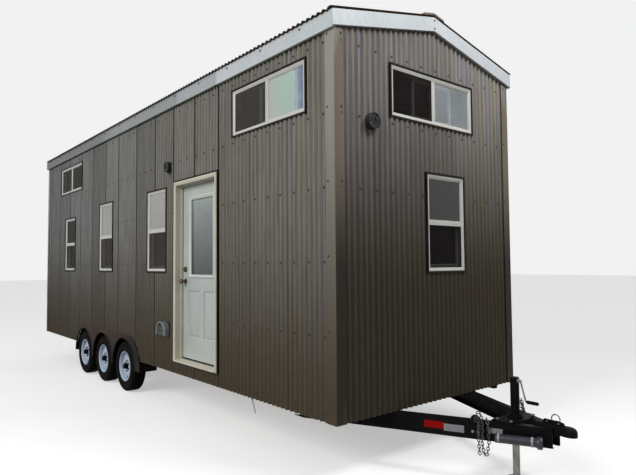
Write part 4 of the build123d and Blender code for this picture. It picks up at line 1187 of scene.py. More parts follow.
                # Tone 1 marks the end legs, which take the painted light and shadow of the ends of the house.
                tone = np.broadcast_to(np.where(section[:, 1] < -bend - 0.001, 1.0, 0.0), grid.shape[:2]).ravel()
                trims.grid(grid, wrap_v=True, smooth=False, tone=tone)
                trims.cap(grid[0]).cap(grid[-1])
                z = np.arange(shell.foot + 0.12, top, self.trim_screws)
                same = np.ones_like(z)
                on_side = np.column_stack([same * (x - way * 0.080), same * side * (shell.side + gauge), z])
                on_end = np.column_stack([same * (x + way * gauge), same * side * (shell.side - 0.080), z])
                screws.repeat(seen, on_side, np.array(((1, 0, 0), (0, 0, 1), (0, side, 0)), float).T)
                screws.repeat(seen, on_end, np.array(((0, 1, 0), (0, 0, 1), (way, 0, 0)), float).T)
        self.shop.piece("corner_trim_angles", trims, [TRIM], "trim", replaces=["corner_trims"])
        self.shop.piece("corner_trim_screws", screws, [SCREW], "trim")

    def slope_place(self, side: int) -> Array:
        """Matrix of a roof half: local x along the ridge, y up the slope and z out of it."""
        c, s = math.cos(self.shell.tilt), math.sin(self.shell.tilt)
        return moved(z=self.shell.deck_top, turn=((1, 0, 0), (0, -side * c, s), (0, side * s, c)))

    def roof(self) -> None:
        """Corrugated roof sheets, ribs down the slope, with screws; the deck below keeps its own shape."""
        shell = self.shell
        tilt = shell.tilt
        depth = shell.rib_depth * math.cos(tilt) - 0.0005
        length = (shell.sheet_edge - 0.002 - depth * math.sin(tilt)) / math.cos(tilt)
        reach = shell.overhang + 0.002
        seams = np.arange(shell.rear + 0.8, shell.front - 0.3, 0.81)
        sheets, screws = Shape(), Shape()
        for side in (-1, 1):
            cladding = Cladding(self.slope_place(side), shell.rear - reach, shell.front + reach,
                                lambda a: np.full_like(a, -length), lambda a: np.full_like(a, -0.004), [],
                                seams.tolist(), (-1.25, -0.70, -0.22), 21 + side, depth=depth, lap=0.0, samples=6,
                                shift=0.5)
            sheets.join(cladding.sheets())
            screws.join(cladding.screws(3))
        self.shop.sheet("corrugated_roof_sheets", sheets, ROOFING, "roof_sheet", "roof_sheets")
        self.shop.screws("roof_sheet_screws", screws, "roof_sheet")
        self.shop.dress(FRAMING, "roof_decks")

    def ridge(self) -> None:
        """Bent ridge cap that stands on the sheets' crests: turned-down edges, a flat crown and closed ends."""
        shell = self.shell
        leg, rise = 0.149, 0.0185
        across = np.array([-leg, -leg, -leg + 0.004, -0.075, -0.010, 0.0, 0.010, 0.075, leg - 0.004, leg, leg])
        drop = np.array([rise, 0.004, 0.0, 0.0, 0.0, 0.0015, 0.0, 0.0, 0.0, 0.004, rise])
        reach = shell.overhang + 0.0015
        along = np.linspace(shell.rear - reach, shell.front + reach, 30)
        x, y = np.meshgrid(along, across, indexing="ij")
        top = shell.ridge + rise - shell.slope * np.abs(y)
        cap = Shape().grid(np.stack([x, y, top - drop[None, :]], -1), tone=0.3)
        for place, end in ((0, along[0]), (-1, along[-1])):
            crown = np.column_stack([np.full(len(across), end), across, top[0] - drop])
            under = np.column_stack([np.full(len(across), end), across, top[0] - rise])
            strip = Shape().grid(np.stack([crown, under], 1), smooth=False, tone=0.3)
            cap.join(strip if place == 0 else flipped(strip))
        self.shop.sheet("bent_ridge_cap", cap, RIDGE, "roof_sheet", "ridge_cap", self.flashing)
        height = shell.ridge + rise - shell.slope * 0.120 - 0.0055
        spots = np.array([(x, side * 0.120, height) for side in (-1, 1) for x in along[1:-1]])
        heads = Shape().repeat(screw_head(), spots)
        self.shop.screws("ridge_cap_screws", heads, "roof_sheet")

    def rakes(self) -> None:
        """Rake trims: an upright face over the deck's end, tucked under the sheets, with a return below.

        The section is carried down both slopes from the peak, where a folded lap covers the joint.
        """
        shell = self.shell
        reach_x = shell.overhang + 0.002
        tall = shell.deck_top - shell.deck_under
        section = np.array([(-0.0014, -0.0010), (0.0, -0.0030), (0.0, -0.040), (0.0, -0.100), (0.0, -tall),
                            (-0.0016, -tall - 0.0018), (-0.024, -tall - 0.0018)])
        reach = np.array([-1.0, -0.66, -0.33, -0.02, 0.0, 0.02, 0.33, 0.66, 1.0]) * shell.eave
        shape, heads = Shape(), Shape()
        for way, base in ((1, shell.front + reach_x), (-1, shell.rear - reach_x)):
            y, dx = np.meshgrid(reach, section[:, 0], indexing="ij")
            wobble = 0.0006 * np.sin(y * 7.0) * (section[:, 1] < -0.01)
            z = shell.deck_top + section[:, 1] - shell.slope * np.abs(y)
            part = Shape().grid(np.stack([base + way * (dx - np.abs(wobble)), y, z], -1), smooth=False)
            shape.join(part if way < 0 else flipped(part))
            peak = shell.deck_top - 0.004
            low = peak - tall + 0.002
            fall = shell.slope * 0.024
            lap = [(-0.024, peak - fall), (-0.024, low - fall), (0.0, low), (0.024, low - fall), (0.024, peak - fall),
                   (0.0, peak)]
            turn = ((0, 1, 0), (0, 0, 1), (way, 0, 0))
            shape.join(prism(lap, -0.0026, -0.0002), moved(x=base, turn=turn))
            if way > 0:
                spots = np.array([(base - 0.0002, 0.0, peak - d) for d in (0.028, 0.108)])
                heads.repeat(screw_head(), spots, np.array(turn, float).T)
        self.shop.sheet("folded_rake_fascias", shape, FLASHING, "flashing", "rake_fascias", self.flashing)
        self.shop.screws("rake_fascia_screws", heads, "flashing")

    def eaves(self) -> None:
        """Eave trims in three lapped lengths, with a return to the corner trims and a hemmed drip.

        The painted shade on the zinc, which stands in for less sky reflected towards the rear, runs in straight lines
        between the places along the house that have a value.
        """
        shell = self.shell
        outer = shell.eave
        top = shell.deck_top - shell.slope * outer
        bottom = float(shell.underside(np.array(shell.side + shell.overhang))) - self.eave_drop - 0.002
        section = np.array([(outer - 0.001, top - 0.001), (outer, top - 0.003), (outer, top - 0.045),
                            (outer, bottom + 0.012), (outer, bottom + 0.002), (outer - 0.002, bottom),
                            (shell.side + 0.003, bottom)])
        low, high = shell.rear - shell.overhang, shell.front + shell.overhang
        joints = [low, *self.eave_joints, high]
        shape, heads = Shape(), Shape()
        for side in (-1, 1):
            for number, (start, end) in enumerate(zip(joints[:-1], joints[1:])):
                lift = 0.0009 * (number % 2)
                along = np.linspace(start - 0.03 * (number > 0), end, 24)
                x, y = np.meshgrid(along, section[:, 0] - 0.0012 + lift, indexing="ij")
                ripple = 0.0004 * np.abs(np.sin(x * 3.7)) * ((section[:, 1] < top - 0.01) & (section[:, 1] > bottom))
                z = np.broadcast_to(section[:, 1], x.shape)
                # The tone carries the painted shade, darker towards the rear.
                tone = np.interp(x - 0.03 * (x > end - 0.001), self.eave_places, self.eave_painted_shades).ravel()
                part = Shape().grid(np.stack([x, -(y - ripple), z], -1), smooth=False, tone=tone)
                shape.join(flipped(part) if side < 0 else part, moved(turn=((1, 0, 0), (0, -side, 0), (0, 0, 1))))
            spots = np.array([(x, side * outer, top - 0.035) for x in np.arange(low + 0.3, high, self.trim_screws)])
            heads.repeat(screw_head(), spots, np.array(((1, 0, 0), (0, 0, 1), (0, side, 0)), float).T)
        self.shop.sheet("folded_eave_fascias", shape, FLASHING, "flashing", "eave_fascias", self.flashing)
        self.shop.screws("eave_fascia_screws", heads, "flashing")


@dataclass
class Glazing:
    """Windows of all four walls: dark trims, moulded frames and sashes, screens and panes."""

    shop: Workshop
    shell: Shell = field(default_factory=Shell)
    face: float = 0.034
    recess: float = 0.008
    depth: float = 0.085
    sash_face: float = 0.034
    sash_lap: float = 0.015
    mullion: float = 0.046

    def build(self) -> None:
        """Make and dress the windows."""
        nodes = {Side.CURB: "curb_window_frames", Side.STREET: "street_window_frames"}
        ends, trims, screens, panes = Shape(), Shape(), Shape(), Shape()
        long_sides = (Side.CURB, Side.STREET)
        for side, windows in WINDOWS.items():
            place = self.shell.wall(side)
            frames = Shape()
            for window in windows:
                at = place @ moved(*window.centre, self.shell.rib_depth - self.recess)
                frames.join(self.frame(window), at)
                trims.join(self.trim(window), place @ moved(*window.centre, 0.0))
                # Screens on the long walls take the lighter copy, which is painted light.
                screens.join(self.screen(window), at, finish=int(side in long_sides))
                panes.join(self.panes(window), at)
            if side in nodes:
                self.piece_of_frames(nodes[side] + "_moulded", frames, nodes[side])
            else:
                ends.join(frames)
        self.piece_of_frames("end_window_frames_moulded", ends, "end_window_frames")
        self.shop.piece("window_edge_trims", trims, [DARK_TRIM], "trim")
        self.shop.piece("window_insect_screens", screens, [SCREENING, LIT_SCREENING], "glass")
        self.shop.piece("window_panes", panes, GLASSES, "glass", replaces=["window_glass"])

    def piece_of_frames(self, name: str, frames: Shape, node: str) -> None:
        """One piece of vinyl frames in place of a node."""
        self.shop.piece(name, frames, [VINYL, SASH], "window_frame", replaces=[node], bevel=0.0012)

    def trim(self, window: Window) -> Shape:
        """Dark folded trim, partly painted shadow of the gap: a flange on the wall, a wall beside the frame and a lip
        in front of the sheets' ends.
        """
        section = [(-0.034, 0.0005), (-0.034, 0.0018), (-0.0175, 0.0018), (-0.0175, 0.0255), (-0.0010, 0.0255),
                   (-0.0010, 0.0235), (-0.0150, 0.0230), (-0.0150, 0.0005)]
        return moulding((window.width, window.height), section)

    def clear(self, window: Window) -> tuple[float, float]:
        """Width and height inside the outer frame."""
        return window.width - 2 * self.face, window.height - 2 * self.face

    def sash(self, window: Window) -> tuple[tuple[float, float], tuple[float, float]]:
        """Size and middle of the moving sash: half the opening and a lap, on the left or below."""
        width, height = self.clear(window)
        if window.kind is Kind.SLIDER:
            wide = width / 2 + self.sash_lap
            return (wide, height), (-width / 2 + wide / 2 + window.opened, 0.0)
        tall = height / 2 + self.sash_lap
        return (width, tall), (0.0, -height / 2 + tall / 2)

    def half(self, window: Window, side: int) -> tuple[tuple[float, float], tuple[float, float]]:
        """Size and middle of the opening beside the post or rail: -1 for the moving half, 1 for the fixed one."""
        width, height = self.clear(window)
        if window.kind is Kind.SLIDER:
            return (width / 2 - self.mullion / 2, height), (side * (width / 4 + self.mullion / 4), 0.0)
        return (width, height / 2 - self.mullion / 2), (0.0, side * (height / 4 + self.mullion / 4))

    def frame(self, window: Window) -> Shape:
        """Outer frame, the post or rail across it, a bead round the fixed pane and the sash behind."""
        width, height = window.width, window.height
        section = [(0, -self.depth), (0, 0.002), (0.003, 0.005), (0.014, 0.005), (0.018, 0.001), (0.027, -0.001),
                   (0.031, -0.005), (self.face, -0.007), (self.face, -self.depth)]
        shape = moulding((width, height), section)
        clear_w, clear_h = self.clear(window)
        half = self.mullion / 2
        bar = [(-half, -0.038), (half, -0.038), (half, -0.009), (half - 0.004, -0.006), (-half + 0.004, -0.006),
               (-half, -0.009)]
        if window.kind is Kind.SLIDER:
            upright = moved(turn=OUT_TO_CURB)
            shape.join(prism(bar, -clear_h / 2 - 0.002, clear_h / 2 + 0.002), upright)
        else:
            level = moved(turn=OUT_TO_FRONT)
            shape.join(prism(bar, -clear_w / 2 - 0.002, clear_w / 2 + 0.002), level)
        bead = [(0, -0.036), (0, -0.0095), (0.005, -0.0085), (0.007, -0.012), (0.007, -0.036)]
        size, middle = self.half(window, 1)
        shape.join(moulding(size, bead, middle))
        sash = [(0, -0.070), (0, -0.043), (0.004, -0.040), (0.024, -0.040), (0.030, -0.046), (self.sash_face, -0.050),
                (self.sash_face, -0.070)]
        size, middle = self.sash(window)
        return shape.join(moulding(size, sash, middle), finish=1)

    def screen(self, window: Window) -> Shape:
        """Screen over the moving half, in a slim frame of its own."""
        size, middle = self.half(window, -1)
        half_w, half_h = size[0] / 2 - 0.003, size[1] / 2 - 0.003
        low, high = (middle[0] - half_w, middle[1] - half_h), (middle[0] + half_w, middle[1] + half_h)
        shape = block((*low, -0.0085), (*high, -0.0079))
        rail = [(0.0005, -0.014), (0.0005, -0.0065), (0.002, -0.0055), (0.008, -0.0055), (0.0095, -0.007),
                (0.0095, -0.014)]
        return shape.join(moulding(size, rail, middle))

    def panes(self, window: Window) -> Shape:
        """Both panes as thin slabs: one fixed, one in the moving sash."""
        fixed, sash = self.half(window, 1), self.sash(window)
        inner = (sash[0][0] - 2 * self.sash_face + 0.006, sash[0][1] - 2 * self.sash_face + 0.006)
        shape = Shape()
        for size, middle, out, look in ((*fixed, -0.014, window.pane), (inner, sash[1], -0.054, SASH_GLASS)):
            half_w, half_h = size[0] / 2 - 0.001, size[1] / 2 - 0.001
            slab = block((middle[0] - half_w, middle[1] - half_h, out - 0.004),
                         (middle[0] + half_w, middle[1] + half_h, out))
            shape.join(slab, finish=GLASSES.index(look))
        return shape


@dataclass
class Doorway:
    """The entry door: frame, seal, slab with its glazed upper half, lockset and hinges."""

    shop: Workshop
    middle: float = 1.305
    width: float = 0.914
    foot: float = 0.667
    height: float = 2.032
    inner: float = 1.148
    thickness: float = 0.044
    lite: tuple[float, float] = (0.524, 0.878)
    lite_foot: float = 1.650
    panel: tuple[float, float] = (0.264, 0.543)
    panel_foot: float = 0.925
    panel_offset: float = 0.185
    backset: float = 0.070
    casing: float = 0.045
    opening: tuple[float, float] = (0.841, 1.767)
    opening_top: float = 2.706
    floor: float = 0.637
    knob_height: float = 1.572
    bolt_height: float = 1.713

    @property
    def place(self) -> Array:
        """Local x along the wall, y up and z out from the house's middle line."""
        return moved(turn=OUT_TO_CURB)

    @property
    def outer(self) -> float:
        """Outer face of the slab."""
        return self.inner + self.thickness

    def build(self) -> None:
        """Make and dress every piece of the doorway."""
        self.frame_piece()
        self.trim_piece()
        self.slab_piece()
        self.glass_piece()
        self.lock_piece()
        self.hinge_pieces()

    def architrave(self, section: Sequence[Sequence[float]]) -> Shape:
        """Three-sided frame, mitred at the head: each section point, an inset and a depth, set in from the casing."""
        inset, out = np.asarray(section, float).T
        low, high = self.opening[0] - self.casing, self.opening[1] + self.casing
        top = self.opening_top + self.casing
        foot = np.full_like(inset, self.floor)
        stations = [(high - inset, foot), (high - inset, top - inset), (low + inset, top - inset), (low + inset, foot)]
        points = np.stack([np.stack([x, y, out], -1) for x, y in stations])
        shape = Shape().grid(points, wrap_v=True, smooth=False)
        return shape.cap(points[0][::-1]).cap(points[-1])

    def frame_piece(self) -> None:
        """Brickmould casing, deep jambs with their stops, seal and sloped sill."""
        stop = self.outer + 0.005
        section = [(0, 1.248), (0, 1.290), (0.004, 1.298), (0.014, 1.300), (0.030, 1.298), (0.036, 1.293),
                   (0.045, 1.291), (0.045, stop + 0.025), (0.057, stop + 0.025), (0.057, stop), (0.045, stop),
                   (0.045, self.inner), (0.013, self.inner), (0.013, 1.248)]
        shape = self.architrave(section)
        seal = [(0.045, stop - 0.0045), (0.045, stop), (0.056, stop), (0.056, stop - 0.0045)]
        shape.join(self.architrave(seal), finish=1)
        sill = [(self.inner, self.floor), (1.304, self.floor), (1.304, self.floor + 0.012), (1.298, self.floor + 0.016),
                (1.222, self.floor + 0.0195), (1.214, self.floor + 0.023), (1.170, self.floor + 0.023),
                (1.162, self.floor + 0.0195), (self.inner, self.floor + 0.0195)]
        low, high = self.opening
        across = moved(turn=((0, 0, 1), (0, 1, 0), (1, 0, 0)))
        sill_shape = Shape().join(prism(sill, low, high), across)
        shape.join(sill_shape)
        self.shop.piece("door_frame_casing", Shape().join(shape, self.place), [CREAM, SEAL], "door_frame",
                        replaces=["door_frame"], bevel=0.0015)

    def trim_piece(self) -> None:
        """Dark folded trim round the casing, partly painted shadow of the gap: a flange on the wall, a side wall and a
        lip over the casing's edge.
        """
        section = [(-0.040, 1.2485), (-0.040, 1.2500), (-0.0035, 1.2500), (-0.0035, 1.2860), (-0.0005, 1.2860),
                   (-0.0005, 1.2485)]
        self.shop.piece("door_edge_trim", Shape().join(self.architrave(section), self.place), [DARK_TRIM], "trim")

    def leaf(self, outside: bool) -> Shape:
        """One face of the slab about its own middle: flat stiles and rails, sunk panel rings and the lite frame."""
        half_h = self.height / 2
        lite_y = self.lite_foot - self.foot + self.lite[1] / 2 - half_h
        panel_y = self.panel_foot - self.foot + self.panel[1] / 2 - half_h
        lite_hole = (-self.lite[0] / 2, self.lite[0] / 2, lite_y - self.lite[1] / 2, lite_y + self.lite[1] / 2)
        holes = [lite_hole]
        for offset in (-self.panel_offset, self.panel_offset):
            holes.append((offset - self.panel[0] / 2, offset + self.panel[0] / 2, panel_y - self.panel[1] / 2,
                          panel_y + self.panel[1] / 2))
        shape = plate((self.width, self.height), holes)
        sunk = [(0, 0), (0.003, -0.0085), (0.009, -0.0120), (0.019, -0.0120), (0.033, -0.0025), (0.040, 0.0)]
        for offset in (-self.panel_offset, self.panel_offset):
            shape.join(moulding(self.panel, sunk, (offset, panel_y), closed=False))
            field_size = (self.panel[0] - 0.080, self.panel[1] - 0.080)
            shape.join(plate(field_size, []), moved(offset, panel_y))
        rim = [(0.0, 0.0), (0.002, 0.006), (0.007, 0.0112), (0.015, 0.0120), (0.023, 0.0105), (0.028, 0.005),
               (0.034, 0.003), (0.040, -0.002), (0.040, -0.014)]
        outer_size = (self.lite[0] + 0.072, self.lite[1] + 0.072)
        shape.join(moulding(outer_size, rim, (0, lite_y), closed=False), finish=1 if outside else 0)
        return shape

    def slab_piece(self) -> None:
        """Slab of two faces and four edges, with a dark sweep along its foot."""
        half = self.thickness / 2
        shape = Shape()
        shape.join(self.leaf(True), moved(z=half))
        shape.join(self.leaf(False), moved(z=-half, turn=TURNED_OVER))
        shape.join(moulding((self.width, self.height), [(0, -half), (0, half)], closed=False))
        lite_y = self.lite_foot - self.foot + self.lite[1] / 2 - self.height / 2
        shape.join(moulding(self.lite, [(0, half), (0, -half)], (0, lite_y), closed=False))
        reach, foot = self.width / 2 - 0.002, -self.height / 2
        sweep = block((-reach, foot - 0.003, -0.016), (reach, foot + 0.012, half + 0.0015))
        shape.join(sweep, finish=2)
        at = self.place @ moved(self.middle, self.foot + self.height / 2, self.inner + half)
        self.shop.piece("door_slab_panelled", Shape().join(shape, at), [ENAMEL, LITE_FRAME, SEAL], "door", "door",
                        replaces=["door_slab"])

    def glass_piece(self) -> None:
        """Two sheets of glass with a spacer round their edge and a blind's head rail between them."""
        lite_y = self.lite_foot + self.lite[1] / 2
        half_w, half_h = self.lite[0] / 2 - 0.001, self.lite[1] / 2 - 0.001
        shape = Shape()
        for out in (-0.0055, 0.0025):
            shape.join(block((-half_w, -half_h, out), (half_w, half_h, out + 0.003)))
        spacer = [(0.002, -0.0025), (0.002, 0.0025), (0.012, 0.0025), (0.012, -0.0025)]
        shape.join(moulding(self.lite, spacer), finish=1)
        shape.join(block((-half_w, half_h - 0.034, -0.0023), (half_w, half_h - 0.001, 0.0023)), finish=2)
        at = self.place @ moved(self.middle, lite_y, self.inner + self.thickness / 2)
        self.shop.piece("door_lite_glass", Shape().join(shape, at), [DOOR_GLASS, SASH, LITE_FRAME], "glass", "door",
                        replaces=["door_glass"])

    def lock_piece(self) -> None:
        """Knobs, deadbolt, thumb turn and the hinges' door leaves."""
        x = self.middle - self.width / 2 + self.backset
        rose = [(0.0335, 0), (0.0335, 0.003), (0.030, 0.009), (0.020, 0.012), (0.012, 0.014), (0.0115, 0.034),
                (0.018, 0.040), (0.026, 0.046), (0.0285, 0.056), (0.027, 0.066), (0.020, 0.0735), (0.009, 0.0765),
                (0.0075, 0.0745), (0.0, 0.0745)]
        bolt = [(0.0335, 0), (0.0335, 0.003), (0.031, 0.012), (0.027, 0.0205), (0.017, 0.0225), (0.015, 0.0205),
                (0.0, 0.0205)]
        shape = Shape()
        outside = moved(z=self.outer)
        inside = moved(z=self.inner, turn=TURNED_OVER)
        for face in (outside, inside):
            shape.join(lathe(rose, 32), self.place @ moved(x, self.knob_height) @ face)
            shape.join(lathe(bolt, 32), self.place @ moved(x, self.bolt_height) @ face)
        turn = prism(rounded(0.007, 0.017, 0.006), 0.018, 0.030)
        shape.join(turn, self.place @ moved(x, self.bolt_height) @ inside)
        edge = self.middle - self.width / 2
        for height in (self.knob_height, self.bolt_height):
            low, high = (height - 0.028, self.inner + 0.009), (height + 0.028, self.outer - 0.009)
            shape.join(block((edge - 0.0008, *low), (edge + 0.001, *high)), self.place)
        for height in self.hinge_heights():
            shape.join(self.knuckles(height, (0,)), self.place, finish=1)
        self.shop.piece("door_lockset", shape, [BRONZE, NICKEL], "hardware", "door", replaces=["door_hardware"])

    def hinge_heights(self) -> tuple[float, float, float]:
        """Middles of the three butt hinges."""
        return self.foot + 0.231, self.foot + self.height / 2, self.foot + self.height - 0.231

    def knuckles(self, height: float, which: Sequence[int]) -> Shape:
        """Barrel thirds of a hinge, each with its leaf: -1 below, 0 in the middle, 1 above."""
        third = 0.034
        x, out = self.opening[1] - 0.0025, self.inner - 0.007
        shape = Shape()
        for step in which:
            low, high = height + (step - 0.5) * third + 0.0004, height + (step + 0.5) * third - 0.0004
            plain = [(0.0, low), (0.0055, low), (0.0065, low + 0.001), (0.0065, high - 0.001), (0.0055, high)]
            above = [(0.0045, high + 0.002), (0.002, high + 0.005), (0.0, high + 0.006)]
            below = [(0.0, low - 0.006), (0.002, low - 0.005), (0.0045, low - 0.002)]
            ends = {-1: below + plain[1:] + [(0.0, high)], 0: plain + [(0.0, high)], 1: plain + above}[step]
            shape.join(lathe(ends, 14), moved(x, 0.0, out, turn=((1, 0, 0), (0, 0, -1), (0, 1, 0))))
            way = -1 if step == 0 else 1
            span = sorted((x + way * 0.004, x + way * 0.030))
            shape.join(block((span[0], low, self.inner - 0.003), (span[1], high, self.inner - 0.0002)))
        return shape

    def hinge_pieces(self) -> None:
        """Jamb halves of the hinges."""
        shape = Shape()
        for height in self.hinge_heights():
            shape.join(self.knuckles(height, (-1, 1)), self.place)
        self.shop.piece("jamb_hinge_leaves", shape, [NICKEL], "hardware", replaces=["jamb_hinges"])
        low, high = self.opening[0] - 0.003, self.opening[0] + 0.0008
        keeps = Shape()
        for height in (self.knob_height, self.bolt_height):
            near, far = (low, height - 0.03, self.inner + 0.006), (high, height + 0.03, self.outer + 0.004)
            keeps.join(block(near, far), self.place)
        self.shop.piece("strike_plates", keeps, [BRONZE], "hardware")


@dataclass
class RunningGear:
    """Tyres, wheels, axles, springs and the two wheel fenders."""

    shop: Workshop
    axles: tuple[tuple[str, float], ...] = (("front", -0.855), ("middle", -1.730), ("rear", -2.605))
    radius: float = 0.345
    tyre_outer: float = 1.262
    tyre_width: float = 0.205
    bead: float = 0.196
    disc_face: float = 0.0495
    fender_front: float = -0.265
    fender_rear: float = -2.995
    fender_top: float = 0.787
    fender_corner: float = 0.430
    fender_foot: float = 0.342
    fender_outer: float = 1.274
    fender_inner: float = 1.030
    arch: float = 0.405
    vent_circle: float = 0.150
    vent_radius: float = 0.0165
    disc_gauge: float = 0.005
    lug_circle: float = 0.070
    spring_side: float = 0.975
    spring_half: float = 0.33
    leaves: int = 4

    def build(self) -> None:
        """Make and dress the running gear."""
        tyre, wheel = self.tyre(), self.wheel()
        for side_name, side in (("curb", -1), ("street", 1)):
            for name, x in self.axles:
                place = self.hub_place(x, side)
                where = side_name + "_" + name
                self.shop.piece("treaded_tyre_" + where, Shape().join(tyre, place), [RUBBER], "tyre", "wheel_" + where,
                                replaces=["tyre_" + where])
                self.shop.piece("steel_wheel_" + where, Shape().join(wheel, place), [WHEEL, BLACK, STEEL], "rim",
                                "wheel_" + where, replaces=["rim_" + where])
        self.fenders()
        self.springs()
        self.shop.dress(BLACK, "axles", "spring_hangers")

    def hub_place(self, x: float, side: int) -> Array:
        """Local z out along the axle from the middle of the tyre."""
        return moved(x, side * (self.tyre_outer - self.tyre_width / 2), self.radius,
                     turn=((1, 0, 0), (0, 0, -side), (0, side, 0)))

    def tyre(self) -> Shape:
        """Tyre section turned about the axle: curved sidewalls and a tread cut by grooves.

        The tread radius drops by the groove depth in four rings, and in slots across the shoulders wherever the sine
        of the block count times the angle is high.
        """
        wall = [(0.1965, 0.062), (0.1985, 0.070), (0.203, 0.0765), (0.209, 0.0805), (0.214, 0.086), (0.2155, 0.0885),
                (0.2185, 0.0885), (0.221, 0.0915), (0.232, 0.0960), (0.2345, 0.0980), (0.2375, 0.0980),
                (0.240, 0.0985), (0.256, 0.1012), (0.272, 0.1020), (0.288, 0.1008), (0.302, 0.0978), (0.314, 0.0935),
                (0.324, 0.0885), (0.332, 0.0825), (0.338, 0.0765)]
        tread_z = np.array([0.072, 0.066, 0.056, 0.0475, 0.0465, 0.0395, 0.0385, 0.030, 0.0185, 0.0175, 0.0105, 0.0095])
        dip = np.array([0, 0, 0, 0, 1, 1, 0, 0, 0, 1, 1, 0]) * 0.007
        crown = 0.3445 - 0.55 * tread_z ** 2 - dip
        right = np.concatenate([np.array(wall), np.column_stack([crown, tread_z])])
        profile = np.concatenate([right[::-1] * (1, 1), right * (1, -1)])[::-1]
        radius, height = profile.T
        turn = np.linspace(0, 2 * math.pi, 168, endpoint=False)
        slots = (np.sin(56 * turn) > 0.3)[:, None] & (np.abs(height) > 0.050)[None] & (radius > 0.3275)[None]
        inner = (np.sin(56 * turn + 1.6) > 0.5)[:, None] & ((np.abs(height) < 0.036) & (np.abs(height) > 0.021))[None]
        depth = radius[None] - 0.0055 * slots - 0.004 * inner
        points = np.stack([np.cos(turn)[:, None] * depth, np.sin(turn)[:, None] * depth,
                           np.broadcast_to(height, depth.shape)], -1)
        return Shape().grid(points, wrap_u=True, wrap_v=True)

    def disc_height(self, r: Array) -> Array:
        """Dish of the wheel disc: a raised ring about the vent holes between the bolt seat and the barrel."""
        edge = np.clip((r - 0.150) / 0.03, 0, 1)
        return self.disc_face + 0.010 * np.exp(-((r - 0.118) / 0.026) ** 2) - 0.012 * edge ** 2

    def disc(self) -> Shape:
        """Wheel disc with eight round vent holes.

        Round each hole, a point runs in a straight line from the circle's edge to the edge of its eighth of the ring,
        with one parameter for the angle about the hole and one for the share of the way. The rest is a plain ring.
        """
        shape = Shape()
        hole_r, ring = self.vent_circle, (0.126, 0.174)
        wedge = math.pi / 8
        turn = np.linspace(0, 2 * math.pi, 24, endpoint=False)
        reach = 1 / np.maximum(np.abs(np.cos(turn)), np.abs(np.sin(turn)))
        square_r = hole_r + (ring[1] - ring[0]) / 2 * reach * np.cos(turn)
        square_a = wedge * reach * np.sin(turn)
        edge = np.column_stack([square_r * np.cos(square_a), square_r * np.sin(square_a)])
        circle = np.column_stack([hole_r + self.vent_radius * np.cos(turn), self.vent_radius * np.sin(turn)])
        share = np.array([0.0, 0.08, 0.5, 1.0])[:, None, None]
        flat = circle[None] * (1 - share) + edge[None] * share
        lip = np.array([0.0015, 0.0, 0.0, 0.0])[:, None]
        height = self.disc_height(np.linalg.norm(flat, axis=-1)) - lip
        front = np.concatenate([flat, height[..., None]], -1)
        back = front - (0, 0, self.disc_gauge)
        radii = np.array([0.040, 0.060, 0.084, 0.100, 0.112, ring[0]])
        rim_radii = np.array([ring[1], 0.180, 0.187])
        for way, grid in ((1, front), (-1, back)):
            patch = Shape().grid(grid.transpose(1, 0, 2)[::-1], wrap_u=True)
            for eighth in range(8):
                shape.join(patch if way > 0 else flipped(Shape().join(patch)), spun(eighth * 2 * wedge))
            for span in (radii, rim_radii):
                angles = np.linspace(0, 2 * math.pi, 64, endpoint=False)
                z = np.broadcast_to(self.disc_height(span) - (0.0 if way > 0 else self.disc_gauge), (64, len(span)))
                band = np.stack([np.outer(np.cos(angles), span), np.outer(np.sin(angles), span), z], -1)
                part = Shape().grid(band, wrap_u=True)
                shape.join(flipped(part) if way > 0 else part)
        wall = np.stack([front[0], back[0]], 1)
        for eighth in range(8):
            shape.join(Shape().grid(wall, wrap_u=True, smooth=False), spun(eighth * 2 * wedge))
        return shape

    def wheel(self) -> Shape:
        """Barrel with rolled flanges, dished disc, hub cap, lug nuts and the brake drum behind."""
        barrel = [(0.1965, -0.066), (0.1975, -0.080), (0.2035, -0.0865), (0.2075, -0.0850), (0.2065, -0.0875),
                  (0.2025, -0.0890), (0.1945, -0.0835), (0.1925, -0.066), (0.184, -0.050), (0.184, 0.030),
                  (0.1885, 0.052), (0.1915, 0.070), (0.1925, 0.078), (0.198, 0.0855), (0.2035, 0.0890),
                  (0.2070, 0.0880), (0.2075, 0.0850), (0.2030, 0.0850), (0.1975, 0.078), (0.1960, 0.060),
                  (0.189, 0.040), (0.189, -0.045)]
        shape = Shape().join(lathe(barrel[::-1], 72, closed=True))
        shape.join(self.disc())
        cap = [(0.0, 0.040), (0.0415, 0.040), (0.0415, 0.062), (0.040, 0.068), (0.0355, 0.070), (0.0345, 0.098),
               (0.032, 0.104), (0.024, 0.107), (0.010, 0.1080), (0.0, 0.1082)]
        shape.join(lathe(cap, 36), finish=1)
        drum = [(0.0, -0.055), (0.148, -0.055), (0.152, -0.050), (0.152, 0.010), (0.140, 0.030), (0.060, 0.038),
                (0.0, 0.038)]
        shape.join(lathe(drum, 40), finish=1)
        nut = [(0.0, 0.0), (0.0112, 0.0), (0.0112, 0.012), (0.0085, 0.019), (0.0045, 0.0215), (0.0, 0.0218)]
        angles = (np.arange(6) + 0.5) * math.pi / 3
        spots = np.column_stack([self.lug_circle * np.cos(angles), self.lug_circle * np.sin(angles),
                                 np.full(6, self.disc_face)])
        shape.repeat(lathe(nut, 6, smooth=False), spots, finish=1)
        return shape

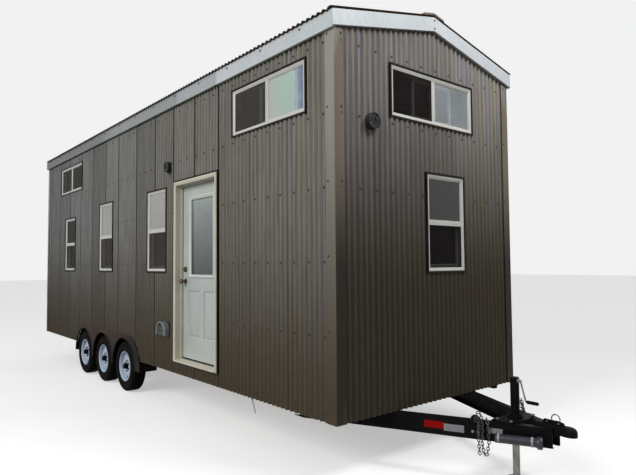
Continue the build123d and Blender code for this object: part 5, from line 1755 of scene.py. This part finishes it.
    def outline(self, grow: float, steps: int = 24) -> Array:
        """Fender outline from its rear foot over the top to its front foot: two quarter circles and their runs."""
        radius = self.fender_corner + grow
        turn = np.linspace(0, math.pi / 2, steps)
        rear_x = self.fender_rear - grow + radius - radius * np.cos(turn)
        z = self.fender_top + grow - radius + radius * np.sin(turn)
        front_x = self.fender_front + grow - radius + radius * np.cos(turn)
        top = np.linspace(rear_x[-1], front_x[-1], 20)[1:-1]
        line = [[(rear_x[0], self.fender_foot)], np.column_stack([rear_x, z]),
                np.column_stack([top, np.full_like(top, z[-1])]), np.column_stack([front_x, z])[::-1],
                [(front_x[0], self.fender_foot)]]
        return np.concatenate(line)

    def arch_edge(self, x: Array) -> Array:
        """Lower edge of the skirt: the highest of the foot and the three wheel circles."""
        edge = np.full_like(x, self.fender_foot)
        for _, axle in self.axles:
            span = self.arch ** 2 - (x - axle) ** 2
            edge = np.maximum(edge, self.radius + np.sqrt(np.clip(span, 0, None)) * (span > 0))
        return edge

    def fenders(self) -> None:
        """Two fenders: a bent top band, a skirt with three rolled arches and an inner wall."""
        bend = 0.007
        shape = Shape()
        path = self.outline(0.0)
        widths = np.array([self.fender_inner, 1.10, 1.18, self.fender_outer - bend])
        turn = np.linspace(0, math.pi / 2, 5)[1:]
        rows = [np.column_stack([path, np.full(len(path), w)]) for w in widths]
        for t in turn:
            level = np.full(len(path), self.fender_outer - bend + bend * math.sin(t))
            rows.append(np.column_stack([self.outline(-bend * (1 - math.cos(t))), level]))
        band = np.stack(rows, 1)
        shape.grid(band)
        low, high = self.fender_rear + bend, self.fender_front - bend
        near = np.concatenate([axle + self.arch * np.cos(np.linspace(0, math.pi, 49)) for _, axle in self.axles])
        ends = self.outline(-bend)[:, 0]
        x = np.unique(np.round(np.concatenate([near, ends, np.linspace(low, high, 60)]), 5))
        x = x[(x >= low) & (x <= high)]
        top_line = self.outline(-bend)[1:-1]
        top = np.interp(x, top_line[:, 0], top_line[:, 1])
        bottom = np.minimum(self.arch_edge(x), top - 0.004)
        share = np.linspace(0, 1, 5)
        z = bottom[:, None] + (top - bottom)[:, None] * share[None]
        skirt = np.stack([np.broadcast_to(x[:, None], z.shape), z, np.full_like(z, self.fender_outer)], -1)
        shape.grid(skirt)
        edge, over = self.outline(-0.003), self.outline(0.014)
        out = self.fender_outer + np.array([0.0002, 0.0016, 0.0002])
        flange = np.stack([np.column_stack([line, np.full(len(line), w)])
                           for line, w in zip((edge, self.outline(0.006), over), out)], 1)
        shape.grid(flange[::-1])
        inner_foot = np.full_like(x, 0.452)
        z = np.minimum(inner_foot, top)[:, None] + np.clip(top - inner_foot, 0, None)[:, None] * share[None]
        inner = np.stack([np.broadcast_to(x[:, None], z.shape), z, np.full_like(z, self.fender_inner + 0.003)], -1)
        shape.grid(inner[::-1])
        rolls = Shape()
        for _, axle in self.axles:
            turn = np.linspace(0.02, math.pi - 0.02, 60)
            ring = np.column_stack([axle + self.arch * np.cos(turn), self.radius + self.arch * np.sin(turn),
                                    np.full(60, self.fender_outer - 0.001)])
            rolls.join(tube(ring, 0.0085, 10))
        both, beads = Shape(), Shape()
        for side in (-1, 1):
            place = moved(turn=((1, 0, 0), (0, 0, 1), (0, side, 0)))
            both.join(shape, place)
            beads.join(rolls, place)
        self.shop.sheet("wheel_fender_panels", both, FENDER, "trailer_steel", "wheel_fenders", 0.003)
        self.shop.piece("wheel_fender_beads", beads, [FENDER], "trailer_steel")

    def springs(self) -> None:
        """Leaf packs clipped to the axles: each leaf a bar along a shallow arc, shorter lower down."""
        shape = Shape()
        base = self.radius + 0.038
        for _, axle in self.axles:
            for side in (-1, 1):
                for leaf in range(self.leaves):
                    half = self.spring_half * (1 - 0.2 * leaf)
                    x = np.linspace(-half, half, 17)
                    z = base + 0.0185 - 0.006 * leaf + 0.034 * (x / self.spring_half) ** 2
                    z = z - 0.012 * (np.abs(x) / self.spring_half) * (leaf == 0)
                    ring = np.array([(-0.025, 0.0), (0.025, 0.0), (0.025, 0.0052), (-0.025, 0.0052)])
                    points = np.empty((17, 4, 3))
                    points[..., 0] = (axle + x)[:, None]
                    points[..., 1] = side * self.spring_side + ring[None, :, 0]
                    points[..., 2] = z[:, None] + ring[None, :, 1]
                    shape.grid(points, wrap_v=True, smooth=False)
                    shape.cap(points[0]).cap(points[-1])
                for offset in (-0.048, 0.048):
                    turn = np.linspace(math.pi, 2 * math.pi, 9)
                    under = np.column_stack([np.full(9, axle + offset), side * self.spring_side + 0.034 * np.cos(turn),
                                             self.radius + 0.002 + 0.043 * np.sin(turn)])
                    tops = [(axle + offset, side * self.spring_side + way * 0.034, base + 0.040) for way in (-1, 1)]
                    shape.join(tube([tops[0], *under, tops[1]], 0.0065, 8))
                low = (axle - 0.065, side * self.spring_side - 0.045, base + 0.0245)
                shape.join(block(low, (axle + 0.065, side * self.spring_side + 0.045, base + 0.0325)))
        self.shop.piece("leaf_spring_packs", shape, [BLACK], "trailer_steel", replaces=["leaf_springs"])


@dataclass
class Hitch:
    """Tongue fittings: markers, brackets with hanging chains, document tube, jack and coupler."""

    shop: Workshop
    tip: tuple[float, float] = (4.800, -0.060)
    tail: tuple[float, float] = (2.855, -0.9547)
    beam_top: float = 0.484
    bracket: float = -0.575
    jack_x: float = 4.455
    jack_top: float = 0.820
    crank_z: float = 0.795
    jack_bore: float = 0.029
    jack_radius: float = 0.036

    @property
    def along(self) -> Array:
        """Unit vector along the curb beam, towards the coupler."""
        run = np.array([self.tip[0] - self.tail[0], self.tip[1] - self.tail[1], 0.0])
        return run / np.linalg.norm(run)

    @property
    def beam_place(self) -> Array:
        """Local x along the curb beam from its tip, y up and z out of its web."""
        ahead = self.along
        return moved(self.tip[0], self.tip[1], 0.0, turn=(ahead, (0, 0, 1), (ahead[1], -ahead[0], 0)))

    def build(self) -> None:
        """Make and dress the tongue and its fittings."""
        self.markers()
        self.brackets()
        self.document_tube()
        self.jack()
        self.coupler()
        self.shop.dress(BLACK, "tongue_beams")

    def markers(self) -> None:
        """Red and white reflecting strips and one blank plate on the beam's web."""
        shape = Shape()
        strip = prism(rounded(0.083, 0.029, 0.002), 0.0002, 0.0010)
        shape.join(strip, moved(-0.917, 0.415))
        shape.join(strip, moved(-0.751, 0.403), finish=1)
        shape.join(prism(rounded(0.055, 0.021, 0.003), 0.0002, 0.0010), moved(-0.420, 0.418), finish=1)
        both = Shape().join(shape, self.beam_place)
        both.join(shape, OTHER_SIDE @ self.beam_place)
        self.shop.piece("reflecting_strips", both, [RED_TAPE, WHITE_TAPE], "trailer_steel")

    def chain(self, path: Sequence[Sequence[float]]) -> Shape:
        """Chain of oval links along a path.

        The path is walked in steps of the link spacing. Each link is an ellipse round its step's middle, long along
        the path, and lies by turns in the plane of the web and across it.
        """
        line = np.asarray(path, float)
        run = np.concatenate([[0.0], np.cumsum(np.linalg.norm(np.diff(line, axis=0), axis=1))])
        steps = np.arange(0.0, run[-1], 0.0255)
        places = np.stack([np.interp(steps, run, line[:, k]) for k in range(3)], -1)
        ahead = np.gradient(places, axis=0)
        ahead = ahead / np.linalg.norm(ahead, axis=1, keepdims=True)
        turn = np.linspace(0, 2 * math.pi, 14, endpoint=False)[:, None]
        shape = Shape()
        for number, (place, way) in enumerate(zip(places, ahead)):
            side = np.cross(way, (0.0, 0.0, 1.0))
            side = side / np.linalg.norm(side) if number % 2 else np.array([0.0, 0.0, 1.0])
            shape.join(tube(place + 0.0105 * np.cos(turn) * side + 0.0175 * np.sin(turn) * way, 0.0036, 6, closed=True))
        return shape

    def brackets(self) -> None:
        """Chain bracket on each beam's web, a round-topped plate with an eye, and the chain that hangs from it.

        A ring of rays goes out from the eye's centre. Above it they end on the plate's round top, below it on the
        plate's sides or foot, at the smaller of half width over cosine and drop over sine.
        """
        reach, drop, eye = 0.038, 0.122, 0.496
        turn = np.linspace(0, 2 * math.pi, 48, endpoint=False)
        square = np.minimum(reach / np.maximum(np.abs(np.cos(turn)), 1e-6), drop / np.maximum(-np.sin(turn), 1e-6))
        out = np.where(turn <= math.pi, reach, square)
        radii, depths = [0.012, 0.014, out - 0.001, out, out - 0.001, 0.014, 0.012], [8.0, 8.4, 8.4, 8.0, 0.0, 0.0, 0.4]
        rings = [np.column_stack([r * np.cos(turn), eye + r * np.sin(turn), np.full(48, d / 1000)])
                 for r, d in zip(radii, depths)]
        clamp = Shape().grid(np.stack(rings, 1), wrap_u=True, wrap_v=True, smooth=False)
        nut = lathe([(0.013, 0.0), (0.013, 0.002), (0.0095, 0.002), (0.0095, 0.010), (0.0, 0.011)], 6, smooth=False)
        spots = np.array([(x, 0.398, 0.008) for x in (-0.022, 0.022)])
        clamp.repeat(nut, spots, finish=1)
        links = Shape()
        links.join(self.chain([(0.0, 0.490, 0.022), (0.012, 0.535, 0.030), (0.030, 0.560, 0.034), (0.052, 0.540, 0.036),
                               (0.060, 0.440, 0.036), (0.056, 0.320, 0.034), (0.070, 0.235, 0.034),
                               (0.092, 0.235, 0.034), (0.108, 0.330, 0.034), (0.104, 0.450, 0.030),
                               (0.092, 0.505, 0.010), (0.084, 0.498, -0.020)]))
        links.join(self.chain([(0.0, 0.500, 0.020), (0.022, 0.530, 0.046), (0.034, 0.470, 0.056), (0.030, 0.360, 0.054),
                               (0.038, 0.245, 0.052)]))
        at = self.beam_place @ moved(self.bracket)
        shape, chains = Shape(), Shape()
        for matrix in (at, OTHER_SIDE @ at):
            shape.join(clamp, matrix)
            chains.join(links, matrix)
        self.shop.piece("chain_brackets", shape, [BLACK, STEEL], "trailer_steel", replaces=["hitch_brackets"])
        self.shop.piece("hanging_chains", chains, [CHAIN], "jack_steel")

    def document_tube(self) -> None:
        """Plain tube with two pale bands, a screw cap with grips, and the two pads that hold it off the web."""
        body = [(0.0, 0.0), (0.034, 0.0), (0.038, 0.004), (0.038, 0.012), (0.0355, 0.014), (0.0355, 0.300),
                (0.038, 0.302), (0.038, 0.311), (0.0455, 0.312), (0.0475, 0.316), (0.0475, 0.346), (0.044, 0.352),
                (0.0, 0.352)]
        shape = lathe(body, 36)
        for low in (0.018, 0.268):
            band = [(0.0355, low), (0.0375, low), (0.0375, low + 0.016), (0.0355, low + 0.016)]
            shape.join(lathe(band, 36), finish=1)
        grips = np.arange(20) * 2 * math.pi / 20
        spots = np.column_stack([0.0470 * np.cos(grips), 0.0470 * np.sin(grips), np.full(20, 0.318)])
        shape.repeat(block((-0.0014, -0.0014, 0.0), (0.0014, 0.0014, 0.026)), spots)
        along = moved(-0.417, 0.380, 0.0483, turn=OUT_TO_FRONT)
        held = Shape().join(shape, along)
        for x in (-0.347, -0.175):
            held.join(block((x - 0.014, 0.358, 0.0003), (x + 0.014, 0.402, 0.030)))
        self.shop.piece("document_holder", Shape().join(held, self.beam_place), [TUBE, LABEL], "trailer_steel",
                        replaces=["document_tube"])

    def jack(self) -> None:
        """Round jack tube with its cap, shaft boss, stepped collar and bolted plate, the inner leg and the crank."""
        at = moved(self.jack_x)
        shape = Shape()
        low, high = 0.354, self.jack_top
        bore, outer = self.jack_bore, self.jack_radius
        wall = [(bore, high - 0.012), (bore, low), (outer, low), (outer, high - 0.016), (0.0375, high - 0.014),
                (0.0375, high - 0.003), (0.0345, high), (0.0, high)]
        shape.join(lathe([(0.0, high - 0.012), *wall], 40))
        boss = [(0.0, -0.004), (0.020, -0.004), (0.020, 0.0015), (0.0165, 0.0035), (0.0, 0.0035)]
        shape.join(lathe(boss, 24), moved(outer, 0.0, self.crank_z, turn=OUT_TO_FRONT), finish=1)
        top = self.beam_top + 0.010
        shape.join(prism([(-0.095, -0.20), (0.06, -0.20), (0.095, -0.06), (0.095, 0.06), (0.06, 0.20), (-0.095, 0.20)],
                         self.beam_top + 0.0003, top))
        collar = [(0.030, top), (0.062, top), (0.062, top + 0.014), (0.060, top + 0.016), (0.054, top + 0.016),
                  (0.053, top + 0.032), (0.051, top + 0.034), (0.030, top + 0.034)]
        shape.join(lathe(collar, 32, closed=True))
        bolts = np.array([(x, y, top) for x in (-0.07, 0.055) for y in (-0.155, 0.155)])
        nut = [(0.0, 0.0), (0.016, 0.0), (0.016, 0.002), (0.0115, 0.002), (0.0115, 0.011), (0.0, 0.0125)]
        shape.repeat(lathe(nut, 6, smooth=False), bolts, finish=1)
        self.shop.piece("jack_housing", Shape().join(shape, at), [BLACK, STEEL], "trailer_steel",
                        replaces=["jack_tube"], bevel=0.0012)
        leg = Shape()
        pipe = [(0.0, 0.012), (0.0283, 0.012), (0.0283, 0.5495), (0.0225, 0.5495), (0.0225, 0.40), (0.0, 0.40)]
        leg.join(lathe(pipe, 32))
        foot = [(0.0, 0.0), (0.072, 0.0), (0.075, 0.002), (0.075, 0.008), (0.050, 0.010), (0.036, 0.016), (0.0, 0.016)]
        leg.join(lathe(foot, 40))
        self.shop.piece("jack_inner_leg", Shape().join(leg, at), [STEEL], "jack_steel", "jack_leg",
                        replaces=["jack_leg"])
        z, low_z = self.crank_z, self.crank_z - 0.160
        crank = tube([(0.0396, 0, z), (0.0600, 0, z)], 0.010, 14)
        arm = [(0.052, 0, z), (0.0545, 0, z - 0.004), (0.057, 0, z - 0.012), (0.0935, 0, low_z + 0.013),
               (0.0965, 0, low_z + 0.004), (0.1030, 0, low_z), (0.2000, 0, low_z)]
        crank.join(tube(arm, 0.007, 12))
        ridges = [(0.0150 if k % 2 else 0.0136, 0.006 + 0.0088 * k) for k in range(11)]
        grip = [(0.0, 0.0), (0.0120, 0.0), *ridges, (0.0120, 0.100), (0.0, 0.100)]
        crank.join(lathe(grip, 20), moved(0.1043, 0.0, low_z, turn=OUT_TO_FRONT), finish=1)
        self.shop.piece("jack_crank_handle", Shape().join(crank, at), [STEEL, BLACK], "jack_steel", "jack_crank",
                        replaces=["jack_crank"])

    def coupler(self) -> None:
        """Pressed ball coupler: a rounded hood, ribs, a latch with its trigger and a lock pin."""
        nose, back, top, base = 4.965, 4.635, 0.509, 0.439
        shape = Shape()
        x = np.array([back, back + 0.05, back + 0.16, nose - 0.11, nose - 0.075, nose - 0.05, nose - 0.025,
                      nose - 0.008, nose - 0.001])
        half = np.array([0.039, 0.039, 0.039, 0.042, 0.047, 0.0478, 0.041, 0.026, 0.010])
        crest = np.array([0.0, 0.0, 0.0, -0.001, -0.002, -0.004, -0.010, -0.022, -0.034]) + top
        share = np.linspace(0, math.pi, 15)
        y = -np.sign(np.cos(share)) * np.abs(np.cos(share)) ** 0.35
        rise = np.sin(share) ** 0.35
        points = np.empty((len(x), 15, 3))
        points[..., 0] = x[:, None]
        points[..., 1] = -half[:, None] * y[None]
        points[..., 2] = base + (crest - base)[:, None] * rise[None]
        skin = Shape().grid(points)
        skin.grid(np.stack([points[:, -1], points[:, 0]], 1), smooth=False)
        skin.cap(points[0]).cap(points[-1][::-1])
        shape.join(skin)
        shape.join(block((back + 0.06, -0.012, top - 0.004), (nose - 0.10, 0.012, top + 0.012)))
        lever = [(back + 0.062, top + 0.006), (nose - 0.105, top + 0.006), (nose - 0.102, top + 0.018),
                 (nose - 0.15, top + 0.0275), (back + 0.12, top + 0.026), (back + 0.07, top + 0.0275)]
        shape.join(prism(lever, -0.009, 0.009), moved(turn=OUT_TO_CURB))
        shape.join(tube([(back + 0.10, -0.02, top + 0.016), (back + 0.10, 0.02, top + 0.016)], 0.005, 10), finish=1)
        shape.join(tube([(nose - 0.135, -0.022, top + 0.012), (nose - 0.135, 0.022, top + 0.012)], 0.006, 10), finish=1)
        turn = np.linspace(0, 2 * math.pi, 28, endpoint=False)
        loop = np.column_stack([4.800 + 0.034 * np.cos(turn), np.zeros(28), 0.549 + 0.034 * np.sin(turn)])
        shape.join(tube(loop, 0.005, 10, closed=True), finish=1)
        self.shop.piece("ball_coupler", shape, [BLACK, STEEL], "trailer_steel", replaces=["coupler"], bevel=0.0012)


@dataclass
class Fittings:
    """Vent hood, round boxes and the drain pipe."""

    shop: Workshop
    shell: Shell = field(default_factory=Shell)
    hood_x: float = 0.523
    hood_foot: float = 0.907
    hood_height: float = 0.176
    hood_width: float = 0.236
    hood_reach: float = 0.0725
    hood_mouth: float = 0.85
    louvres: int = 6
    louvre_pitch: float = 0.031

    def build(self) -> None:
        """Make and dress the fittings."""
        self.hood()
        self.boxes()
        self.pipe()

    def hood(self) -> None:
        """Round-headed vent hood: side walls swept from the back plate to a rolled lip, and louvres set back in it.

        The outline is a half circle over two short straight sides. Each ring is that outline scaled about the middle
        of the half circle and set out from the wall.
        """
        radius = self.hood_width / 2
        drop = self.hood_height - radius
        middle = self.hood_foot + drop
        turn = np.linspace(0, math.pi, 25)
        round_head = np.column_stack([np.cos(turn), np.sin(turn)]) * radius
        outline = np.concatenate([[(radius, -drop + 0.004)], round_head, [(-radius, -drop + 0.004)]])
        share = np.array([0.0, 0.30, 0.70, 0.90, 0.98, 1.0, 0.98, 0.90, 0.45])
        size = np.array([1.0, 1.0, 0.99, 0.975, 0.95, 0.91, 0.87, self.hood_mouth, self.hood_mouth])
        points = np.empty((len(outline), len(share), 3))
        points[..., :2] = outline[:, None, :] * size[None, :, None]
        points[..., 2] = (0.002 + (self.hood_reach - 0.002) * share)[None]
        at = self.shell.wall(Side.CURB) @ moved(self.hood_x, middle, self.shell.rib_depth)
        dome = Shape().join(Shape().grid(points), at)
        self.shop.sheet("vent_hood_dome", dome, HOOD, "galvanised", "vent_hood", 0.0015)
        fins = Shape()
        # The back plate is near-black: painted shade of the opening behind the louvres.
        back = prism(rounded(radius, self.hood_height / 2, 0.010), 0.0, 0.003)
        fins.join(back, moved(y=radius - self.hood_height / 2))
        inner = self.hood_mouth * radius - 0.003
        for number in range(self.louvres):
            x = (number - (self.louvres - 1) / 2) * self.louvre_pitch
            high = math.sqrt(inner ** 2 - x ** 2)
            fins.join(block((x - 0.003, -drop + 0.006, 0.004), (x + 0.003, high, 0.050)), finish=1)
        for height in (-0.030, 0.030):
            half = math.sqrt(inner ** 2 - height ** 2)
            fins.join(block((-half, height - 0.002, 0.010), (half, height + 0.002, 0.046)), finish=1)
        self.shop.piece("vent_hood_louvres", Shape().join(fins, at), [PLASTIC, HOOD], "galvanised")

    def boxes(self) -> None:
        """Round outlet boxes: a rimmed can with a recessed cover, four ears and two screws."""
        spots = ((self.shell.wall(Side.CURB), 0.625, 2.962, 0.065),
                 (self.shell.wall(Side.FRONT), -0.850, 2.977, 0.072))
        shape = Shape()
        for wall, along, height, radius in spots:
            at = wall @ moved(along, height, self.shell.rib_depth)
            can = [(radius - 0.012, 0.0), (radius - 0.001, 0.0), (radius - 0.001, 0.036), (radius, 0.037),
                   (radius, 0.048), (radius - 0.003, 0.050), (radius - 0.009, 0.050), (radius - 0.010, 0.044),
                   (radius * 0.45, 0.043),
                   (radius * 0.42, 0.0465), (radius * 0.30, 0.0475), (radius * 0.28, 0.040), (0.0, 0.0395)]
            shape.join(lathe(can, 40), at)
            for angle in (0.6, 0.6 + math.pi):
                spot = at @ moved(0.66 * radius * math.cos(angle), 0.66 * radius * math.sin(angle), 0.0425)
                shape.join(lathe([(0.0048, 0.0), (0.0048, 0.002), (0.0, 0.0032)], 12), spot, finish=1)
            for angle in (0.0, math.pi / 2, math.pi, 3 * math.pi / 2):
                spot = at @ spun(angle) @ moved(radius - 0.004, 0.0, 0.018, turn=OUT_TO_FRONT)
                shape.join(lathe([(0.014, 0.0), (0.014, 0.0038), (0.0, 0.0040)], 16), spot)
        self.shop.piece("round_boxes", shape, [PLASTIC, STEEL], "grey_plastic", replaces=["electrical_boxes"])

    def pipe(self) -> None:
        """Slanting drain pipe with a coupling at its head and a dark disc at its end, painted shade of the open bore.
        """
        head, foot = np.array([2.363, -1.2135, 0.484]), np.array([2.430, -1.2135, 0.338])
        way = (foot - head) / np.linalg.norm(foot - head)
        shape = tube([head, foot], 0.006, 16)
        shape.join(tube([head, head + 0.028 * way], 0.0085, 16))
        # Painted shade: a dark disc stands in for the shaded inside of the open end.
        shape.join(tube([foot, foot + 0.0006 * way], 0.0045, 12), finish=1)
        self.shop.piece("drain_pipe", shape, [PIPE, SEAL], "grey_plastic", replaces=["pipe_stub"])


@dataclass
class Studio:
    """Floor, soft light and the camera at the photograph's viewpoint."""

    spot: tuple[float, float, float] = (6.993, -4.207, 1.766)
    yaw: float = 140.251
    pitch: float = 2.71
    roll: float = -0.459
    lens: float = 31.49
    floor_reach: float = 70.0
    sky_light: float = 0.40
    sky_shown: float = 0.95

    def build(self) -> None:
        """Make the stage."""
        self.floor()
        self.sky()
        self.lamp("key", (3.0, -14.0, 9.0), (0.0, -1.0, 2.0), 7.0, 1450.0)
        self.lamp("top", (7.0, 0.5, 6.6), (3.7, 0.0, 3.8), 2.0, 220.0)
        self.camera()
        bpy.context.scene.view_settings.view_transform = "Standard"

    def floor(self) -> None:
        """Wide floor, pale where it is seen, mirrored or seen through glass, and darker for the light it throws up."""
        reach = np.linspace(-self.floor_reach, self.floor_reach, 9)
        x, y = np.meshgrid(reach, reach, indexing="ij")
        mesh = Shape().grid(np.stack([x, y, np.zeros_like(x)], -1), smooth=False).mesh("studio_floor")
        tree = ShaderTree("pale_floor")
        tone = tree.noise(0.8, 0.8, 2.0).fit(0.3, 0.7)
        pale = tree.blend(tone, (0.66, 0.655, 0.64), (0.70, 0.695, 0.68))
        rays = ("Is Camera Ray", "Is Glossy Ray", "Is Transmission Ray")
        camera, glossy, through = (tree.node("ShaderNodeLightPath", out=name) for name in rays)
        seen = (camera + glossy + through).fit(0.0, 1.0)
        tree.feed(tree.shader.inputs["Base Color"], tree.blend(seen, (0.12, 0.115, 0.11), pale))
        tree.feed(tree.shader.inputs["Emission Color"], tree.blend(seen, (0.0, 0.0, 0.0), (0.44, 0.44, 0.44)))
        tree.shader.inputs["Emission Strength"].default_value = 1.0
        tree.feed(tree.shader.inputs["Roughness"], 0.95)
        mesh.materials.append(tree.material)
        floor = bpy.data.objects.new("studio_floor", mesh)
        bpy.context.scene.collection.objects.link(floor)

    def sky(self) -> None:
        """World that lights the object evenly, and is white to the camera, in mirrors and through glass."""
        world = bpy.data.worlds.new("studio_sky")
        bpy.context.scene.world = world
        world.use_nodes = True
        nodes, links = world.node_tree.nodes, world.node_tree.links
        nodes.clear()
        path = nodes.new("ShaderNodeLightPath")
        mirrored, seen = (nodes.new("ShaderNodeMath") for _ in range(2))
        mirrored.operation = seen.operation = "MAXIMUM"
        links.new(path.outputs["Is Camera Ray"], mirrored.inputs[0])
        links.new(path.outputs["Is Glossy Ray"], mirrored.inputs[1])
        links.new(mirrored.outputs[0], seen.inputs[0])
        links.new(path.outputs["Is Transmission Ray"], seen.inputs[1])
        light, shown = (nodes.new("ShaderNodeBackground") for _ in range(2))
        mix = nodes.new("ShaderNodeMixShader")
        light.inputs["Color"].default_value = (0.93, 0.96, 1.0, 1.0)
        light.inputs["Strength"].default_value = self.sky_light
        shown.inputs["Color"].default_value = (0.93, 0.935, 0.94, 1.0)
        shown.inputs["Strength"].default_value = self.sky_shown
        links.new(seen.outputs[0], mix.inputs[0])
        links.new(light.outputs[0], mix.inputs[1])
        links.new(shown.outputs[0], mix.inputs[2])
        out = nodes.new("ShaderNodeOutputWorld")
        links.new(mix.outputs[0], out.inputs["Surface"])

    def lamp(self, name: str, spot: Sequence[float], target: Sequence[float], size: float, power: float) -> None:
        """Large soft lamp at a spot, aimed at a target."""
        data = bpy.data.lights.new(name, "AREA")
        data.size = size
        data.energy = power
        lamp = bpy.data.objects.new(name, data)
        bpy.context.scene.collection.objects.link(lamp)
        aim = np.array(target, float) - np.array(spot, float)
        back = -aim / np.linalg.norm(aim)
        right = np.cross((0, 0, 1), back)
        right = right / np.linalg.norm(right)
        lamp.matrix_world = Matrix(moved(*spot, turn=(right, np.cross(back, right), back)).tolist())

    def camera(self) -> None:
        """Camera where the photograph was taken from, by yaw, pitch and roll."""
        yaw, pitch, roll = (math.radians(v) for v in (self.yaw, self.pitch, self.roll))
        ahead = np.array([math.cos(yaw) * math.cos(pitch), math.sin(yaw) * math.cos(pitch), math.sin(pitch)])
        right = np.array([math.sin(yaw), -math.cos(yaw), 0.0])
        up = np.cross(right, ahead)
        side = math.cos(roll) * right + math.sin(roll) * up
        head = -math.sin(roll) * right + math.cos(roll) * up
        data = bpy.data.cameras.new("view")
        data.lens = self.lens
        data.sensor_width = 36.0
        data.clip_end = 300.0
        camera = bpy.data.objects.new("view", data)
        bpy.context.scene.collection.objects.link(camera)
        camera.matrix_world = Matrix(moved(*self.spot, turn=(side, head, -ahead)).tolist())
        bpy.context.scene.camera = camera


def main() -> None:
    """Build and dress the whole house."""
    logging.basicConfig(level=logging.INFO, format="%(message)s")
    shop = Workshop()
    Envelope(shop).build()
    Glazing(shop).build()
    Doorway(shop).build()
    RunningGear(shop).build()
    Hitch(shop).build()
    Fittings(shop).build()
    shop.dress(BLACK, "main_rails", "cross_channels", "side_channels")
    shop.dress(PLANKS, "floor_deck")
    shop.dress(FRAMING, "curb_wall_front", "curb_wall_over_door", "curb_wall_rear", "curb_wall_under_door",
               "street_wall", "front_wall", "rear_wall")
    Studio().build()


if __name__ == "__main__":
    main()
